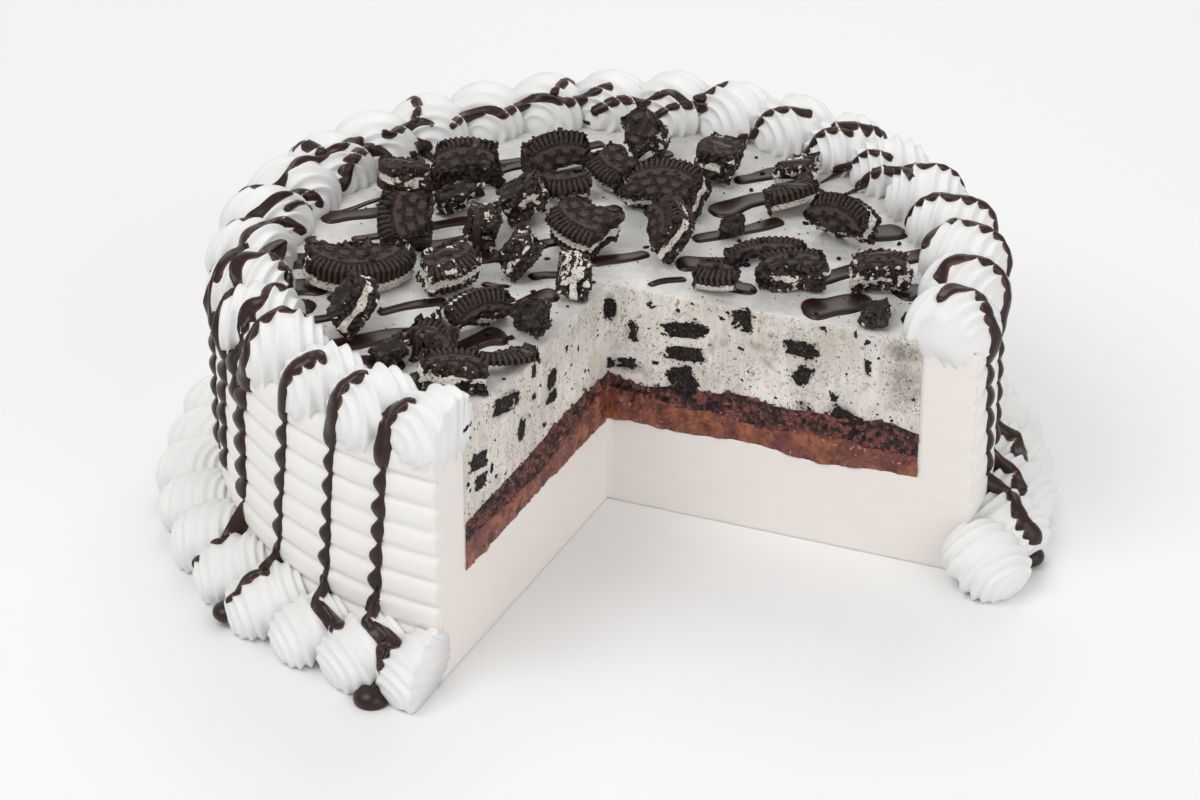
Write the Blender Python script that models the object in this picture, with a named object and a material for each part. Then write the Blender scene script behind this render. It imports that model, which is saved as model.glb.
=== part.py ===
# Ice cream cake, ten inches across, with one wedge of about a quarter taken out.
# The origin is the centre of the round base, on the surface that the cake stands on.
# X runs right, Y away from the open wedge and Z up. Lengths are in metres.

import math
import random
from collections import namedtuple

import bmesh
import bpy
from mathutils import Matrix, Vector
from mathutils.geometry import convex_hull_2d

MM = 0.001
CLEARANCE = 0.3 * MM            # kept between pieces that touch

# The body: a vanilla base and wall round three inner layers
WALL_RADIUS = 125 * MM
BODY_HEIGHT = 79 * MM
WALL_THICKNESS = 18 * MM
INNER_RADIUS = WALL_RADIUS - WALL_THICKNESS
BASE_TOP = 31 * MM
FUDGE_TOP = 39 * MM
CRUNCH_TOP = 47 * MM
BODY_STEPS = 30                 # round the part of the circle that is left
INNER_RINGS = [0.2, 0.4, 0.6, 0.8]      # where the poured layers may rise and sink, as shares of the radius

# The combed ridges of the wall
RIDGES = 9
RIDGE_DEPTH = 1.5 * MM
RIDGE_SHOULDERS = [0.22, 0.78]  # the round of one ridge, as shares of its height

# The cut: two upright faces that meet in front of the centre
CORNER = Vector((0, -7.5 * MM, 0))
RIGHT_CUT = math.radians(-22.0)
LEFT_CUT = math.radians(244.8)

# How uneven the poured layers are: height, then how far apart the rises are
WAVES = {
    BASE_TOP: (1.9 * MM, 15 * MM),
    FUDGE_TOP: (2.0 * MM, 12 * MM),
    CRUNCH_TOP: (1.7 * MM, 8 * MM),
}
FAST_WAVE = 0.7                 # strength and spacing of the quicker wave that crosses them, as shares
FAST_SPACING = 0.6

# Piped swirls: ribbed barrels that lie side by side, pointing outwards. Joining them makes many small faces,
# and a row keeps only a share of those.
SWIRL_ROUNDNESS = 2.6
SWIRL_YAW = math.radians(26)    # how far a swirl's outer end is turned clockwise of straight out
RIB_DEPTH = 1.9 * MM
SIZE_RANGE = (0.95, 1.05)       # how much swirls differ: in size, length, roll, turn and height
LENGTH_RANGE = (0.97, 1.03)
ROLL_RANGE = (-0.3, 0.3)
TURN_RANGE = (-3, 3)
HEIGHT_RANGE = (-0.6, 0.6)
SwirlRow = namedtuple("SwirlRow", """first last count inner outer inner_z outer_z radius widen ribs sides
                                  droop keep""")
TOP_ROW = SwirlRow(math.radians(-20.6), math.radians(243.2), 25, 99 * MM, 126.5 * MM,
                   83 * MM, 81.5 * MM, 12.2 * MM, 1.2, 5, 8, 1.8 * MM, 0.55)
FOOT_ROW = SwirlRow(math.radians(-26.5), math.radians(245.0), 31, 119 * MM, 144.5 * MM,
                    13.5 * MM, 3.5 * MM, 10.6 * MM, 1.25, 2, 8, 0.5 * MM, 0.75)

# Cookies: a sandwich of two wafers and a cream filling, broken into pieces
COOKIE_RADIUS = 22.5 * MM
COOKIE_SIDES = 26
LAYER_THICKNESS = {1: 4.2 * MM, 2: 7.0 * MM, 3: 10.2 * MM}
BREAK_ANGLE = math.radians(13)  # how far a broken side may stray from square
BREAK_SLOPE = math.radians(12)  # and from upright
CHIPPED_CORNER = 0.36           # where a piece without a rim lost a corner, as a share of its sides

# Where each piece lies (x, y, mm), if it has a stretch of the fluted rim, its width along the rim and its
# depth (mm), its layers, the heading of its rim, and how far that side and its right side are raised
Piece = namedtuple("Piece", "x y rim width depth layers heading lean roll")
PIECES = [
    Piece(-67, 50, True, 18, 15, 3, 195, 10, -14),
    Piece(-46, 61, True, 21, 14, 3, 95, 30, -8),
    Piece(-17, 70, True, 21, 12, 3, 112, 60, 8),
    Piece(-12.5, 49, True, 15, 9, 2, -80, -16, -5),
    Piece(1.5, 60, True, 16, 14, 2, -145, -12, 10),
    Piece(12.5, 75, False, 16, 12, 3, 20, 26, -16),
    Piece(36, 66, True, 18, 14, 3, 165, 8, -8),
    Piece(19, 44, True, 25, 17, 3, 75, 28, 6),
    Piece(-27, 37, False, 15, 13, 3, 10, 30, 10),
    Piece(-49, 41.5, False, 14, 10, 2, -60, 8, -6),
    Piece(-65, 18, True, 18, 17, 3, 180, 4, 36),
    Piece(-87, 5, True, 19, 9, 1, 120, 14, 4),
    Piece(-77, -11, True, 34, 15, 3, -76, -9, 3),
    Piece(-40, 18, False, 13, 12, 3, 0, 74, 0),
    Piece(-9, 15, True, 19, 16, 3, -135, -10, 10),
    Piece(-28, -2, False, 13, 10, 3, -15, 52, 0),
    Piece(-10.5, -16, False, 9, 12, 3, 5, 80, 0),
    Piece(-49, -11, True, 18, 13, 3, -55, -12, -6),
    Piece(-41, -37, True, 22, 10, 3, 125, 66, 0),
    Piece(-23, -39, False, 12, 10, 2, 40, 26, 10),
    Piece(-78, -38, False, 15, 14, 3, 5, 52, 0),
    Piece(-53, -51, True, 14, 9, 2, 60, 26, -8),
    Piece(-66, -58.5, False, 12, 10, 1, 20, 14, 10),
    Piece(-47, -73.5, True, 19, 12, 3, 98, 8, -3),
    Piece(-30, -62, True, 19, 8, 1, -70, 8, 5),
    Piece(20, 13, True, 19, 14, 3, 12, 50, 0),
    Piece(34, -12, True, 14, 10, 2, -110, -8, -6),
    Piece(40, 25.5, False, 9, 7, 1, 0, 8, 0),
    Piece(50, 10, True, 25, 8.5, 1, 95, 10, 5),
    Piece(57.5, -8.5, True, 20, 12, 3, 92, 5, 3),
    Piece(63, 60, False, 18, 10, 2, -15, 8, 10),
    Piece(60, 42, True, 18, 12, 2, -70, 14, -8),
    Piece(76, 22, True, 21, 12, 3, 48, 58, 0),
    Piece(85.5, -11, True, 18, 11, 3, 75, 10, 6),
    Piece(83, -32, False, 11, 9, 1, 0, 10, 6),
]

# Chocolate drizzle. The tip swept across the cake again and again on one heading, and each line on the top
# is given by its distance from the centre, its two ends along that heading, and its width (mm).
DRIZZLE_HEADING = math.radians(24)
DRIZZLE_LINES = [
    (81, -34, 10, 3.4), (69, -66, -38, 3.6), (68, -10, 54, 3.2), (57, -72, -30, 3.4), (47, -80, -52, 3.4),
    (46, -28, 84, 3.6), (33, -68, 22, 3.4), (22, -84, -62, 4.0), (23, -30, 78, 4.4), (7, -90, -30, 3.6),
    (6, -4, 40, 3.2), (1, 40, 86, 3.6), (-9, -62, -24, 4.2), (-13.8, -92, -46, 4.4), (-13.5, 8, 20, 2.0),
    (-13, 66, 90, 4.2), (-26, -86, -62, 4.0), (-25, 30, 52, 4.2), (-36.5, -58, -32, 4.8), (-36, 56, 90, 4.4),
    (-49.5, 44, 84, 5.4), (-39, -78, -60, 4.0), (-66, 62, 76, 4.0),
]
DRIZZLE_RISE = 1.6 * MM
DRIZZLE_STEP = 9 * MM
SHORTEST_LINE = 7 * MM
SWAY = 1.2 * MM                 # how far a line strays from straight
STRAND_RESOLUTION = 0           # a strand has four sides

# Azimuths where the drizzle goes over a swirl and down the wall, how far down it gets (height), its width,
# and whether it also crosses the swirls at the foot and pools there
Run = namedtuple("Run", "azimuth stops width pools")
RUNS = [
    Run(238.4, 25, 4.6, True), Run(229.4, 25, 4.4, True), Run(219.3, 25, 4.0, True),
    Run(209.0, 25, 4.0, True), Run(198.0, 25, 3.8, False), Run(-7.0, 25, 3.8, True),
    Run(-17.5, 25, 4.0, True),
]
OVER_RIM = [165, 135, 100, 70, 40, 15, -12]     # degrees round a swirl, from its inner end to its outer one
DOWN_FOOT = [100, 75, 50, 25, 0]
RUN_TOP = 66 * MM               # hidden under the swirls on the rim
RUN_NECK = 0.72                 # how wide a run is in a groove, as a share, and how much wider on a ridge
RUN_BELLY = 0.38
STRAND_SINK = 1.2 * MM          # how deep a strand lies in a swirl
POOL_RADIUS = 5.2 * MM
POOL_FLATNESS = 0.7


# Scene and finishes

def clear_scene():
    for thing in list(bpy.data.objects):
        bpy.data.objects.remove(thing, do_unlink=True)


def finish(name, colour, roughness):
    material = bpy.data.materials.new(name)
    material.use_nodes = True
    shader = material.node_tree.nodes["Principled BSDF"]
    shader.inputs["Base Color"].default_value = (*colour, 1)
    shader.inputs["Roughness"].default_value = roughness
    shader.inputs["Metallic"].default_value = 0
    return material


def new_collection(name):
    collection = bpy.data.collections.new(name)
    bpy.context.scene.collection.children.link(collection)
    return collection


def object_from(bm, name, collection, material=None):
    """Turn a bmesh into an object with its faces pointing out."""
    bmesh.ops.recalc_face_normals(bm, faces=bm.faces)
    mesh = bpy.data.meshes.new(name)
    bm.to_mesh(mesh)
    bm.free()
    thing = bpy.data.objects.new(name, mesh)
    collection.objects.link(thing)
    if material:
        mesh.materials.append(material)
    return thing


def evaluated_bmesh(thing):
    """The mesh of an object with its modifiers worked out, in world space."""
    shaped = thing.evaluated_get(bpy.context.evaluated_depsgraph_get())
    mesh = bpy.data.meshes.new_from_object(shaped)
    bm = bmesh.new()
    bm.from_mesh(mesh)
    bpy.data.meshes.remove(mesh)
    bmesh.ops.transform(bm, matrix=thing.matrix_world, verts=bm.verts)
    return bm


def remove_all(things):
    for thing in list(things):
        bpy.data.objects.remove(thing, do_unlink=True)


def drop_scraps(bm):
    """Keep the largest body only."""
    bodies = []
    unseen = set(bm.verts)
    while unseen:
        grown = {unseen.pop()}
        edge_of_growth = list(grown)
        while edge_of_growth:
            vertex = edge_of_growth.pop()
            fresh = {edge.other_vert(vertex) for edge in vertex.link_edges} & unseen
            unseen -= fresh
            grown |= fresh
            edge_of_growth += fresh
        bodies.append(grown)
    bodies.sort(key=len)
    for scrap in bodies[:-1]:
        bmesh.ops.delete(bm, geom=list(scrap), context='VERTS')


def fused(name, first, collection, cutters, target, material, keep=1):
    """Join an object with a collection, thin its faces to the share kept, and take the cutters away."""
    if collection:
        union = first.modifiers.new("join", 'BOOLEAN')
        union.operation = 'UNION'
        union.operand_type = 'COLLECTION'
        union.collection = collection
        union.solver = 'EXACT'
    if keep < 1:
        thin = first.modifiers.new("thin", 'DECIMATE')
        thin.ratio = keep
    for cutter in cutters:
        cut = first.modifiers.new("cut", 'BOOLEAN')
        cut.operation = 'DIFFERENCE'
        cut.object = cutter
        cut.solver = 'EXACT'
    bpy.context.view_layer.update()
    bm = evaluated_bmesh(first)
    bmesh.ops.remove_doubles(bm, verts=bm.verts, dist=0.001 * MM)
    bmesh.ops.triangulate(bm, faces=bm.faces)
    drop_scraps(bm)
    remove_all([first] + list(collection.objects if collection else []))
    return object_from(bm, name, target, material)


# The body and its layers

def reach(angle, radius):
    """How far the circle of that radius is from the corner of the cut, on that heading."""
    heading = Vector((math.cos(angle), math.sin(angle), 0))
    along = CORNER.dot(heading)
    return math.sqrt(along * along - CORNER.length_squared + radius * radius) - along


def unevenness(x, y, z):
    """How far a poured surface rises at that point; other surfaces stay flat."""
    for height, (rise, spacing) in WAVES.items():
        if abs(z - height) < 2 * CLEARANCE:
            slow = math.sin(x / spacing + height / MM) + math.sin(y / spacing + 2 * height / MM)
            fast = math.sin((x - y) / (FAST_SPACING * spacing))
            return rise * (slow + FAST_WAVE * fast) / 2
    return 0


def turned_sector(name, profile, collection, material=None, spare=0):
    """Turn a profile (radius, height) round the corner of the cut, then fit its rings to the round cake.

    A cutter takes some spare steps past each face of the cut.
    """
    step = (LEFT_CUT - RIGHT_CUT) / BODY_STEPS
    start = RIGHT_CUT - spare * step
    steps = BODY_STEPS + 2 * spare
    bm = bmesh.new()
    face = bm.faces.new([bm.verts.new((radius, 0, z)) for radius, z in profile])
    bmesh.ops.rotate(bm, verts=bm.verts, matrix=Matrix.Rotation(start, 3, 'Z'))
    bmesh.ops.spin(bm, geom=[face] + face.edges[:] + face.verts[:], axis=(0, 0, 1),
                   angle=steps * step, steps=steps)
    bmesh.ops.remove_doubles(bm, verts=bm.verts, dist=0.01 * MM)
    smallest = INNER_RINGS[0] * INNER_RADIUS
    for vertex in bm.verts:
        radius = math.hypot(vertex.co.x, vertex.co.y)
        angle = math.atan2(vertex.co.y, vertex.co.x)
        distance = reach(angle, max(radius, smallest)) * min(1, radius / smallest)
        x = CORNER.x + distance * math.cos(angle)
        y = CORNER.y + distance * math.sin(angle)
        inside = radius < INNER_RADIUS + CLEARANCE
        lift = unevenness(x, y, vertex.co.z) if inside else 0
        vertex.co = (x, y, vertex.co.z + lift)
    bmesh.ops.recalc_face_normals(bm, faces=bm.faces)
    bmesh.ops.dissolve_limit(bm, angle_limit=math.radians(0.05), verts=bm.verts, edges=bm.edges)
    bmesh.ops.triangulate(bm, faces=bm.faces, quad_method='SHORT_EDGE')
    return object_from(bm, name, collection, material)


def ring_radii(outer):
    return [0] + [share * INNER_RADIUS for share in INNER_RINGS] + [outer]


def layer_profile(bottom, top):
    """A poured layer that fills the wall, with room for the layer under it."""
    outer = INNER_RADIUS - CLEARANCE
    radii = ring_radii(outer)
    return [(r, bottom + CLEARANCE) for r in radii] + [(r, top) for r in reversed(radii)]


def vanilla_profile():
    """Base and wall in one, the outside combed into ridges."""
    pitch = BODY_HEIGHT / RIDGES
    groove = WALL_RADIUS - RIDGE_DEPTH
    outline = [(0, 0)]
    for ridge in range(RIDGES):
        outline.append((groove, ridge * pitch))
        outline += [(WALL_RADIUS, (ridge + share) * pitch) for share in RIDGE_SHOULDERS]
    outline.append((groove, BODY_HEIGHT))
    outline.append((INNER_RADIUS, BODY_HEIGHT))
    return outline + [(r, BASE_TOP) for r in reversed(ring_radii(INNER_RADIUS))]


# Chocolate strands

def strand(name, points, radii, collection):
    """A strand of drizzle: a tube through the points, closed at its ends."""
    curve = bpy.data.curves.new(name, 'CURVE')
    curve.dimensions = '3D'
    curve.bevel_depth = 1
    curve.bevel_resolution = STRAND_RESOLUTION
    curve.use_fill_caps = True
    spline = curve.splines.new('POLY')
    spline.points.add(len(points) - 1)
    for bead, place, radius in zip(spline.points, points, radii):
        bead.co = (*place, 1)
        bead.radius = radius
    guide = bpy.data.objects.new(name, curve)
    collection.objects.link(guide)
    bpy.context.view_layer.update()
    bm = evaluated_bmesh(guide)
    bmesh.ops.remove_doubles(bm, verts=bm.verts, dist=0.01 * MM)
    bpy.data.objects.remove(guide, do_unlink=True)
    bpy.data.curves.remove(curve)
    return object_from(bm, name, collection)


def at_azimuth(azimuth, radius, z):
    return Vector((radius * math.cos(azimuth), radius * math.sin(azimuth), z))


def wall_run(run, collection):
    """Drizzle that ran down the ridges: one bead on each ridge, pinched in each groove."""
    pitch = BODY_HEIGHT / RIDGES
    azimuth = math.radians(run.azimuth)
    half_width = run.width * MM / 2
    bottom = run.stops * MM
    points = []
    radii = []
    count = round((RUN_TOP - bottom) / (pitch / 2))
    for step in range(count + 1):
        z = RUN_TOP + (bottom - RUN_TOP) * step / count
        place_in_ridge = (z / pitch) % 1
        swell = math.sin(math.pi * place_in_ridge)
        points.append(at_azimuth(azimuth, WALL_RADIUS - RIDGE_DEPTH + swell * RIDGE_DEPTH, z))
        radii.append(half_width * (RUN_NECK + RUN_BELLY * swell))
    return strand("run", points, radii, collection)


def share_of_crest(row, azimuth):
    """How high the row of swirls stands there, from 1 on a crest to less in the valley beside it."""
    middle = (row.inner + row.outer) / 2
    off = min(abs(azimuth - crest) for crest in row_azimuths(row)) * middle
    return math.sqrt(1 - (off / (row.widen * row.radius)) ** 2)


def over_swirls(row, azimuth, turn):
    """A place on the round of the swirls: 180 degrees is their inner end, 90 the crest, 0 the outer end."""
    half = math.hypot(row.outer - row.inner, row.outer_z - row.inner_z) / 2
    tilt = math.atan2(row.inner_z - row.outer_z, row.outer - row.inner)
    power = 2 / SWIRL_ROUNDNESS
    from_middle = math.copysign(abs(math.cos(turn)) ** power, math.cos(turn))
    ahead = from_middle * (half - STRAND_SINK)
    rise = math.copysign(abs(math.sin(turn)) ** power, math.sin(turn))
    rise *= row.radius * share_of_crest(row, azimuth) - STRAND_SINK
    rise -= row.droop * from_middle ** 2
    radius = (row.inner + row.outer) / 2 + ahead * math.cos(tilt) + rise * math.sin(tilt)
    z = (row.inner_z + row.outer_z) / 2 - ahead * math.sin(tilt) + rise * math.cos(tilt)
    return at_azimuth(azimuth, radius, z)


def swirl_run(row, run, turns, collection):
    """The same drizzle where it goes over a row of swirls."""
    azimuth = math.radians(run.azimuth)
    points = [over_swirls(row, azimuth, math.radians(turn)) for turn in turns]
    return strand("run", points, [run.width * MM / 2] * len(points), collection)


def pool(run, collection):
    """The pool that it left at the foot."""
    bm = bmesh.new()
    bmesh.ops.create_uvsphere(bm, u_segments=9, v_segments=6, radius=POOL_RADIUS)
    flat = Matrix.Diagonal((1, 1, POOL_FLATNESS, 1))
    place = at_azimuth(math.radians(run.azimuth), FOOT_ROW.outer, FOOT_ROW.outer_z / 2)
    bmesh.ops.transform(bm, matrix=Matrix.Translation(place) @ flat, verts=bm.verts)
    return object_from(bm, "pool", collection)


# Piped swirls

def swirl(row, rng, azimuth, collection):
    """One piped swirl: a barrel with ribs round it, turned about its middle and laid in place."""
    length = math.hypot(row.outer - row.inner, row.outer_z - row.inner_z)
    bm = bmesh.new()
    count = 2 * row.ribs
    outline = []
    for step in range(count + 1):
        share = step / count
        round_off = (1 - abs(2 * share - 1) ** SWIRL_ROUNDNESS) ** (1 / SWIRL_ROUNDNESS)
        valley = RIB_DEPTH if step % 2 == 0 and 0 < step < count else 0
        outline.append(bm.verts.new(((share - 0.5) * length, 0, row.radius * round_off - valley)))
    edges = [bm.edges.new(pair) for pair in zip(outline, outline[1:])]
    bmesh.ops.spin(bm, geom=outline + edges, axis=(1, 0, 0), angle=2 * math.pi, steps=row.sides,
                   use_merge=True)
    bmesh.ops.remove_doubles(bm, verts=bm.verts, dist=0.01 * MM)
    for vertex in bm.verts:
        vertex.co.z -= row.droop * (2 * vertex.co.x / length) ** 2
    size = rng.uniform(*SIZE_RANGE)
    widen = Matrix.Diagonal((rng.uniform(*LENGTH_RANGE), size * row.widen, size, 1))
    tilt = Matrix.Rotation(math.atan2(row.inner_z - row.outer_z, row.outer - row.inner), 4, 'Y')
    roll = Matrix.Rotation(rng.uniform(*ROLL_RANGE), 4, 'X')
    turn = Matrix.Rotation(azimuth - SWIRL_YAW + math.radians(rng.uniform(*TURN_RANGE)), 4, 'Z')
    middle_z = (row.inner_z + row.outer_z) / 2 + rng.uniform(*HEIGHT_RANGE) * MM
    middle = Matrix.Translation(at_azimuth(azimuth, (row.inner + row.outer) / 2, middle_z))
    bmesh.ops.transform(bm, matrix=middle @ turn @ tilt @ widen @ roll, verts=bm.verts)
    return object_from(bm, "swirl", collection)


def row_azimuths(row):
    return [row.first + (row.last - row.first) * step / (row.count - 1) for step in range(row.count)]


# Cutters

def box_cutter(name, low, high, collection):
    bm = bmesh.new()
    bmesh.ops.create_cube(bm, size=1)
    size = Vector(high) - Vector(low)
    middle = (Vector(high) + Vector(low)) / 2
    bmesh.ops.transform(bm, matrix=Matrix.Translation(middle) @ Matrix.Diagonal((*size, 1)), verts=bm.verts)
    cutter = object_from(bm, name, collection)
    return hidden(cutter)


def hidden(cutter):
    cutter.hide_render = True
    cutter.display_type = 'WIRE'
    return cutter


def floor_cutter(collection):
    """All that is below the floor."""
    far = 2 * WALL_RADIUS
    return box_cutter("floor_space", (-far, -far, -far), (far, far, 0), collection)


def wedge_cutter(collection):
    """The space of the missing wedge, from the middle of the wall to well above the rim."""
    far = 2 * WALL_RADIUS
    low = BODY_HEIGHT / 2
    high = BODY_HEIGHT * 2
    bm = bmesh.new()
    outline = [bm.verts.new((*CORNER.xy, low))]
    for step in range(5):
        angle = LEFT_CUT + (RIGHT_CUT + 2 * math.pi - LEFT_CUT) * step / 4
        edge = CORNER + at_azimuth(angle, far, low)
        outline.append(bm.verts.new(edge))
    face = bm.faces.new(outline)
    lifted = bmesh.ops.extrude_face_region(bm, geom=[face])["geom"]
    top = [item for item in lifted if isinstance(item, bmesh.types.BMVert)]
    bmesh.ops.translate(bm, vec=(0, 0, high - low), verts=top)
    return hidden(object_from(bm, "top_trim", collection))


def left_half_cutter(collection):
    """Everything on the open side of the left face, to end the swirls at the foot there."""
    half = WALL_RADIUS / 2
    cutter = box_cutter("left_trim", (0, -half, -half), (half, half, half), collection)
    cutter.location = CORNER + at_azimuth(LEFT_CUT, WALL_RADIUS, 0)
    cutter.rotation_euler.z = LEFT_CUT + math.pi / 2
    return cutter


# Cookies

def broken_side(bm, rng, place, outward):
    """Break the piece off along a rough upright plane."""
    swing = Matrix.Rotation(rng.uniform(-BREAK_ANGLE, BREAK_ANGLE), 3, 'Z')
    normal = swing @ Vector(outward)
    normal.z = math.tan(rng.uniform(-BREAK_SLOPE, BREAK_SLOPE))
    geometry = bm.verts[:] + bm.edges[:] + bm.faces[:]
    cut = bmesh.ops.bisect_plane(bm, geom=geometry, plane_co=place, plane_no=normal, clear_outer=True)
    edges = [item for item in cut["geom_cut"] if isinstance(item, bmesh.types.BMEdge)]
    bmesh.ops.edgeloop_fill(bm, edges=edges)


def cookie(number, piece, collection, material):
    """One broken piece, cut from a whole round cookie and laid on the cake as it fell."""
    rng = random.Random(number)
    width = piece.width * MM
    depth = piece.depth * MM
    thickness = LAYER_THICKNESS[piece.layers]
    bm = bmesh.new()
    bmesh.ops.create_cone(bm, cap_ends=True, segments=COOKIE_SIDES, radius1=COOKIE_RADIUS,
                          radius2=COOKIE_RADIUS, depth=thickness)
    outer = COOKIE_RADIUS if piece.rim else depth / 2
    inner = outer - depth
    broken_side(bm, rng, (width / 2, outer - depth / 2, 0), (1, 0, 0))
    broken_side(bm, rng, (-width / 2, outer - depth / 2, 0), (-1, 0, 0))
    broken_side(bm, rng, (0, inner, 0), (0, -1, 0))
    if not piece.rim:
        broken_side(bm, rng, (0, outer, 0), (0, 1, 0))
        broken_side(bm, rng, (width * CHIPPED_CORNER, depth * CHIPPED_CORNER, 0), (1, 1, 0))
    centre = Matrix.Translation((0, -(outer + inner) / 2, 0))
    lean = Matrix.Rotation(math.radians(piece.lean), 4, 'X')
    roll = Matrix.Rotation(math.radians(-piece.roll), 4, 'Y')
    heading = Matrix.Rotation(math.radians(piece.heading - 90), 4, 'Z')
    bmesh.ops.transform(bm, matrix=heading @ lean @ roll @ centre, verts=bm.verts)
    lowest = min(vertex.co.z for vertex in bm.verts)
    place = Vector((piece.x * MM, piece.y * MM, BODY_HEIGHT + CLEARANCE - lowest))
    bmesh.ops.translate(bm, vec=place, verts=bm.verts)
    bmesh.ops.triangulate(bm, faces=bm.faces)
    return object_from(bm, f"cookie_{number:02d}", collection, material)


def footprint(thing):
    corners = [vertex.co.xy for vertex in thing.data.vertices]
    return [corners[index] for index in convex_hull_2d(corners)]


def distance_outside(point, outline):
    """How far a point is from a convex outline; negative inside it."""
    sides = []
    for start, end in zip(outline, outline[1:] + outline[:1]):
        edge = end - start
        sides.append((point - start).dot(Vector((edge.y, -edge.x)).normalized()))
    return max(sides)


# Drizzle on the top

def free_stretches(line, outlines):
    """The stretches of one drizzle line that are clear of the cookies, the swirls and the cut."""
    offset, start, end, width = line
    along = Vector((math.cos(DRIZZLE_HEADING), math.sin(DRIZZLE_HEADING)))
    across = Vector((-along.y, along.x))
    room = width * MM / 2 + 2 * CLEARANCE
    steps = 1 + round((end - start) * MM / (DRIZZLE_STEP / 3))
    stretch = []
    for step in range(steps + 1):
        share = step / steps
        sway = SWAY * math.sin(5 * share + offset)
        point = along * (start + (end - start) * share) * MM + across * (offset * MM + sway)
        from_corner = point - CORNER.xy
        angle = math.atan2(from_corner.y, from_corner.x)
        in_wedge = LEFT_CUT - 2 * math.pi < angle < RIGHT_CUT
        clear = all(distance_outside(point, outline) > room for outline in outlines)
        if clear and not in_wedge and point.length < TOP_ROW.inner - 3.4 * MM and wide_of_cut(point, room):
            stretch.append(point)
        else:
            yield stretch
            stretch = []
    yield stretch


def wide_of_cut(point, room):
    """True where a strand of that half width stays on the cake."""
    from_corner = point - CORNER.xy
    for heading, side in ((RIGHT_CUT, 1), (LEFT_CUT, -1)):
        face = Vector((math.cos(heading), math.sin(heading)))
        ahead = from_corner.dot(face)
        off = side * (face.x * from_corner.y - face.y * from_corner.x)
        if ahead > 0 and abs(off) < room:
            return False
    return True


def drizzle_on_top(outlines, collection):
    for line in DRIZZLE_LINES:
        radius = line[3] * MM / 2
        for stretch in free_stretches(line, outlines):
            if len(stretch) < 3 or (stretch[-1] - stretch[0]).length < SHORTEST_LINE:
                continue
            picked = stretch[::3] + ([stretch[-1]] if (len(stretch) - 1) % 3 else [])
            points = [Vector((*point, BODY_HEIGHT + DRIZZLE_RISE - radius)) for point in picked]
            strand("line", points, [radius] * len(points), collection)


# The cake

def build_layers(parts, finishes):
    turned_sector("vanilla_plain", vanilla_profile(), parts)
    turned_sector("fudge", layer_profile(BASE_TOP, FUDGE_TOP), parts, finishes["fudge"])
    turned_sector("crunch", layer_profile(FUDGE_TOP, CRUNCH_TOP), parts, finishes["crunch"])
    turned_sector("cream_plain", layer_profile(CRUNCH_TOP, BODY_HEIGHT), parts)


def build_cookies(parts, finishes):
    pieces = [cookie(number, piece, parts, finishes["cookie"]) for number, piece in enumerate(PIECES, 1)]
    return [footprint(piece) for piece in pieces]


def build_vanilla(parts, scratch, finishes):
    for run in RUNS:
        wall_run(run, scratch)
    plain = parts.objects["vanilla_plain"]
    fused("vanilla", plain, scratch, [], parts, finishes["vanilla"])


def build_cream(parts, scratch, finishes, outlines):
    drizzle_on_top(outlines, scratch)
    plain = parts.objects["cream_plain"]
    fused("cookies_and_cream", plain, scratch, [], parts, finishes["cookies_and_cream"])


def body_cutter(height, spare, collection):
    """The space that the body fills, with its clearance, for what is piped against it."""
    edge = WALL_RADIUS + CLEARANCE
    below = -20 * MM
    profile = [(0, below), (edge, below), (edge, height), (0, height)]
    return hidden(turned_sector("body_space", profile, collection, spare=spare))


def build_top_border(parts, scratch, cutters, finishes):
    rng = random.Random(11)
    swirls = [swirl(TOP_ROW, rng, azimuth, scratch) for azimuth in row_azimuths(TOP_ROW)]
    for run in RUNS:
        swirl_run(TOP_ROW, run, OVER_RIM, scratch)
    first = swirls[0]
    scratch.objects.unlink(first)
    parts.objects.link(first)
    body = body_cutter(BODY_HEIGHT + CLEARANCE, 1, cutters)
    wedge = wedge_cutter(cutters)
    fused("top_border", first, scratch, [body, wedge], parts, finishes["piping"], TOP_ROW.keep)


def build_foot_border(parts, scratch, cutters, finishes):
    rng = random.Random(5)
    azimuths = row_azimuths(FOOT_ROW)
    swirls = [swirl(FOOT_ROW, rng, azimuth, scratch) for azimuth in azimuths]
    for run in RUNS:
        if run.pools:
            swirl_run(FOOT_ROW, run, DOWN_FOOT, scratch)
            pool(run, scratch)
    first = swirls[0]
    scratch.objects.unlink(first)
    parts.objects.link(first)
    body = body_cutter(BODY_HEIGHT, 0, cutters)
    face_space = body_cutter(BODY_HEIGHT, 0, cutters)
    face_space.location = Vector((math.sin(RIGHT_CUT), -math.cos(RIGHT_CUT), 0)) * CLEARANCE
    spaces = [body, face_space, floor_cutter(cutters), left_half_cutter(cutters)]
    fused("foot_border", first, scratch, spaces, parts, finishes["piping"], FOOT_ROW.keep)


def main():
    clear_scene()
    parts = new_collection("ice_cream_cake")
    scratch = new_collection("scratch")
    cutters = new_collection("cutters")
    finishes = {
        "vanilla": finish("vanilla", (0.86, 0.82, 0.77), 0.5),
        "fudge": finish("fudge", (0.26, 0.10, 0.065), 0.45),
        "crunch": finish("crunch", (0.11, 0.035, 0.03), 0.7),
        "cookies_and_cream": finish("cookies_and_cream", (0.66, 0.64, 0.60), 0.5),
        "piping": finish("piping", (0.90, 0.90, 0.89), 0.5),
        "cookie": finish("cookie", (0.022, 0.016, 0.015), 0.8),
    }
    build_layers(parts, finishes)
    outlines = build_cookies(parts, finishes)
    build_vanilla(parts, scratch, finishes)
    build_cream(parts, scratch, finishes, outlines)
    build_top_border(parts, scratch, cutters, finishes)
    build_foot_border(parts, scratch, cutters, finishes)


main()
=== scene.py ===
import math
import random

import bmesh
import bpy
from mathutils import Matrix, Vector, noise
from mathutils.bvhtree import BVHTree


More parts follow.
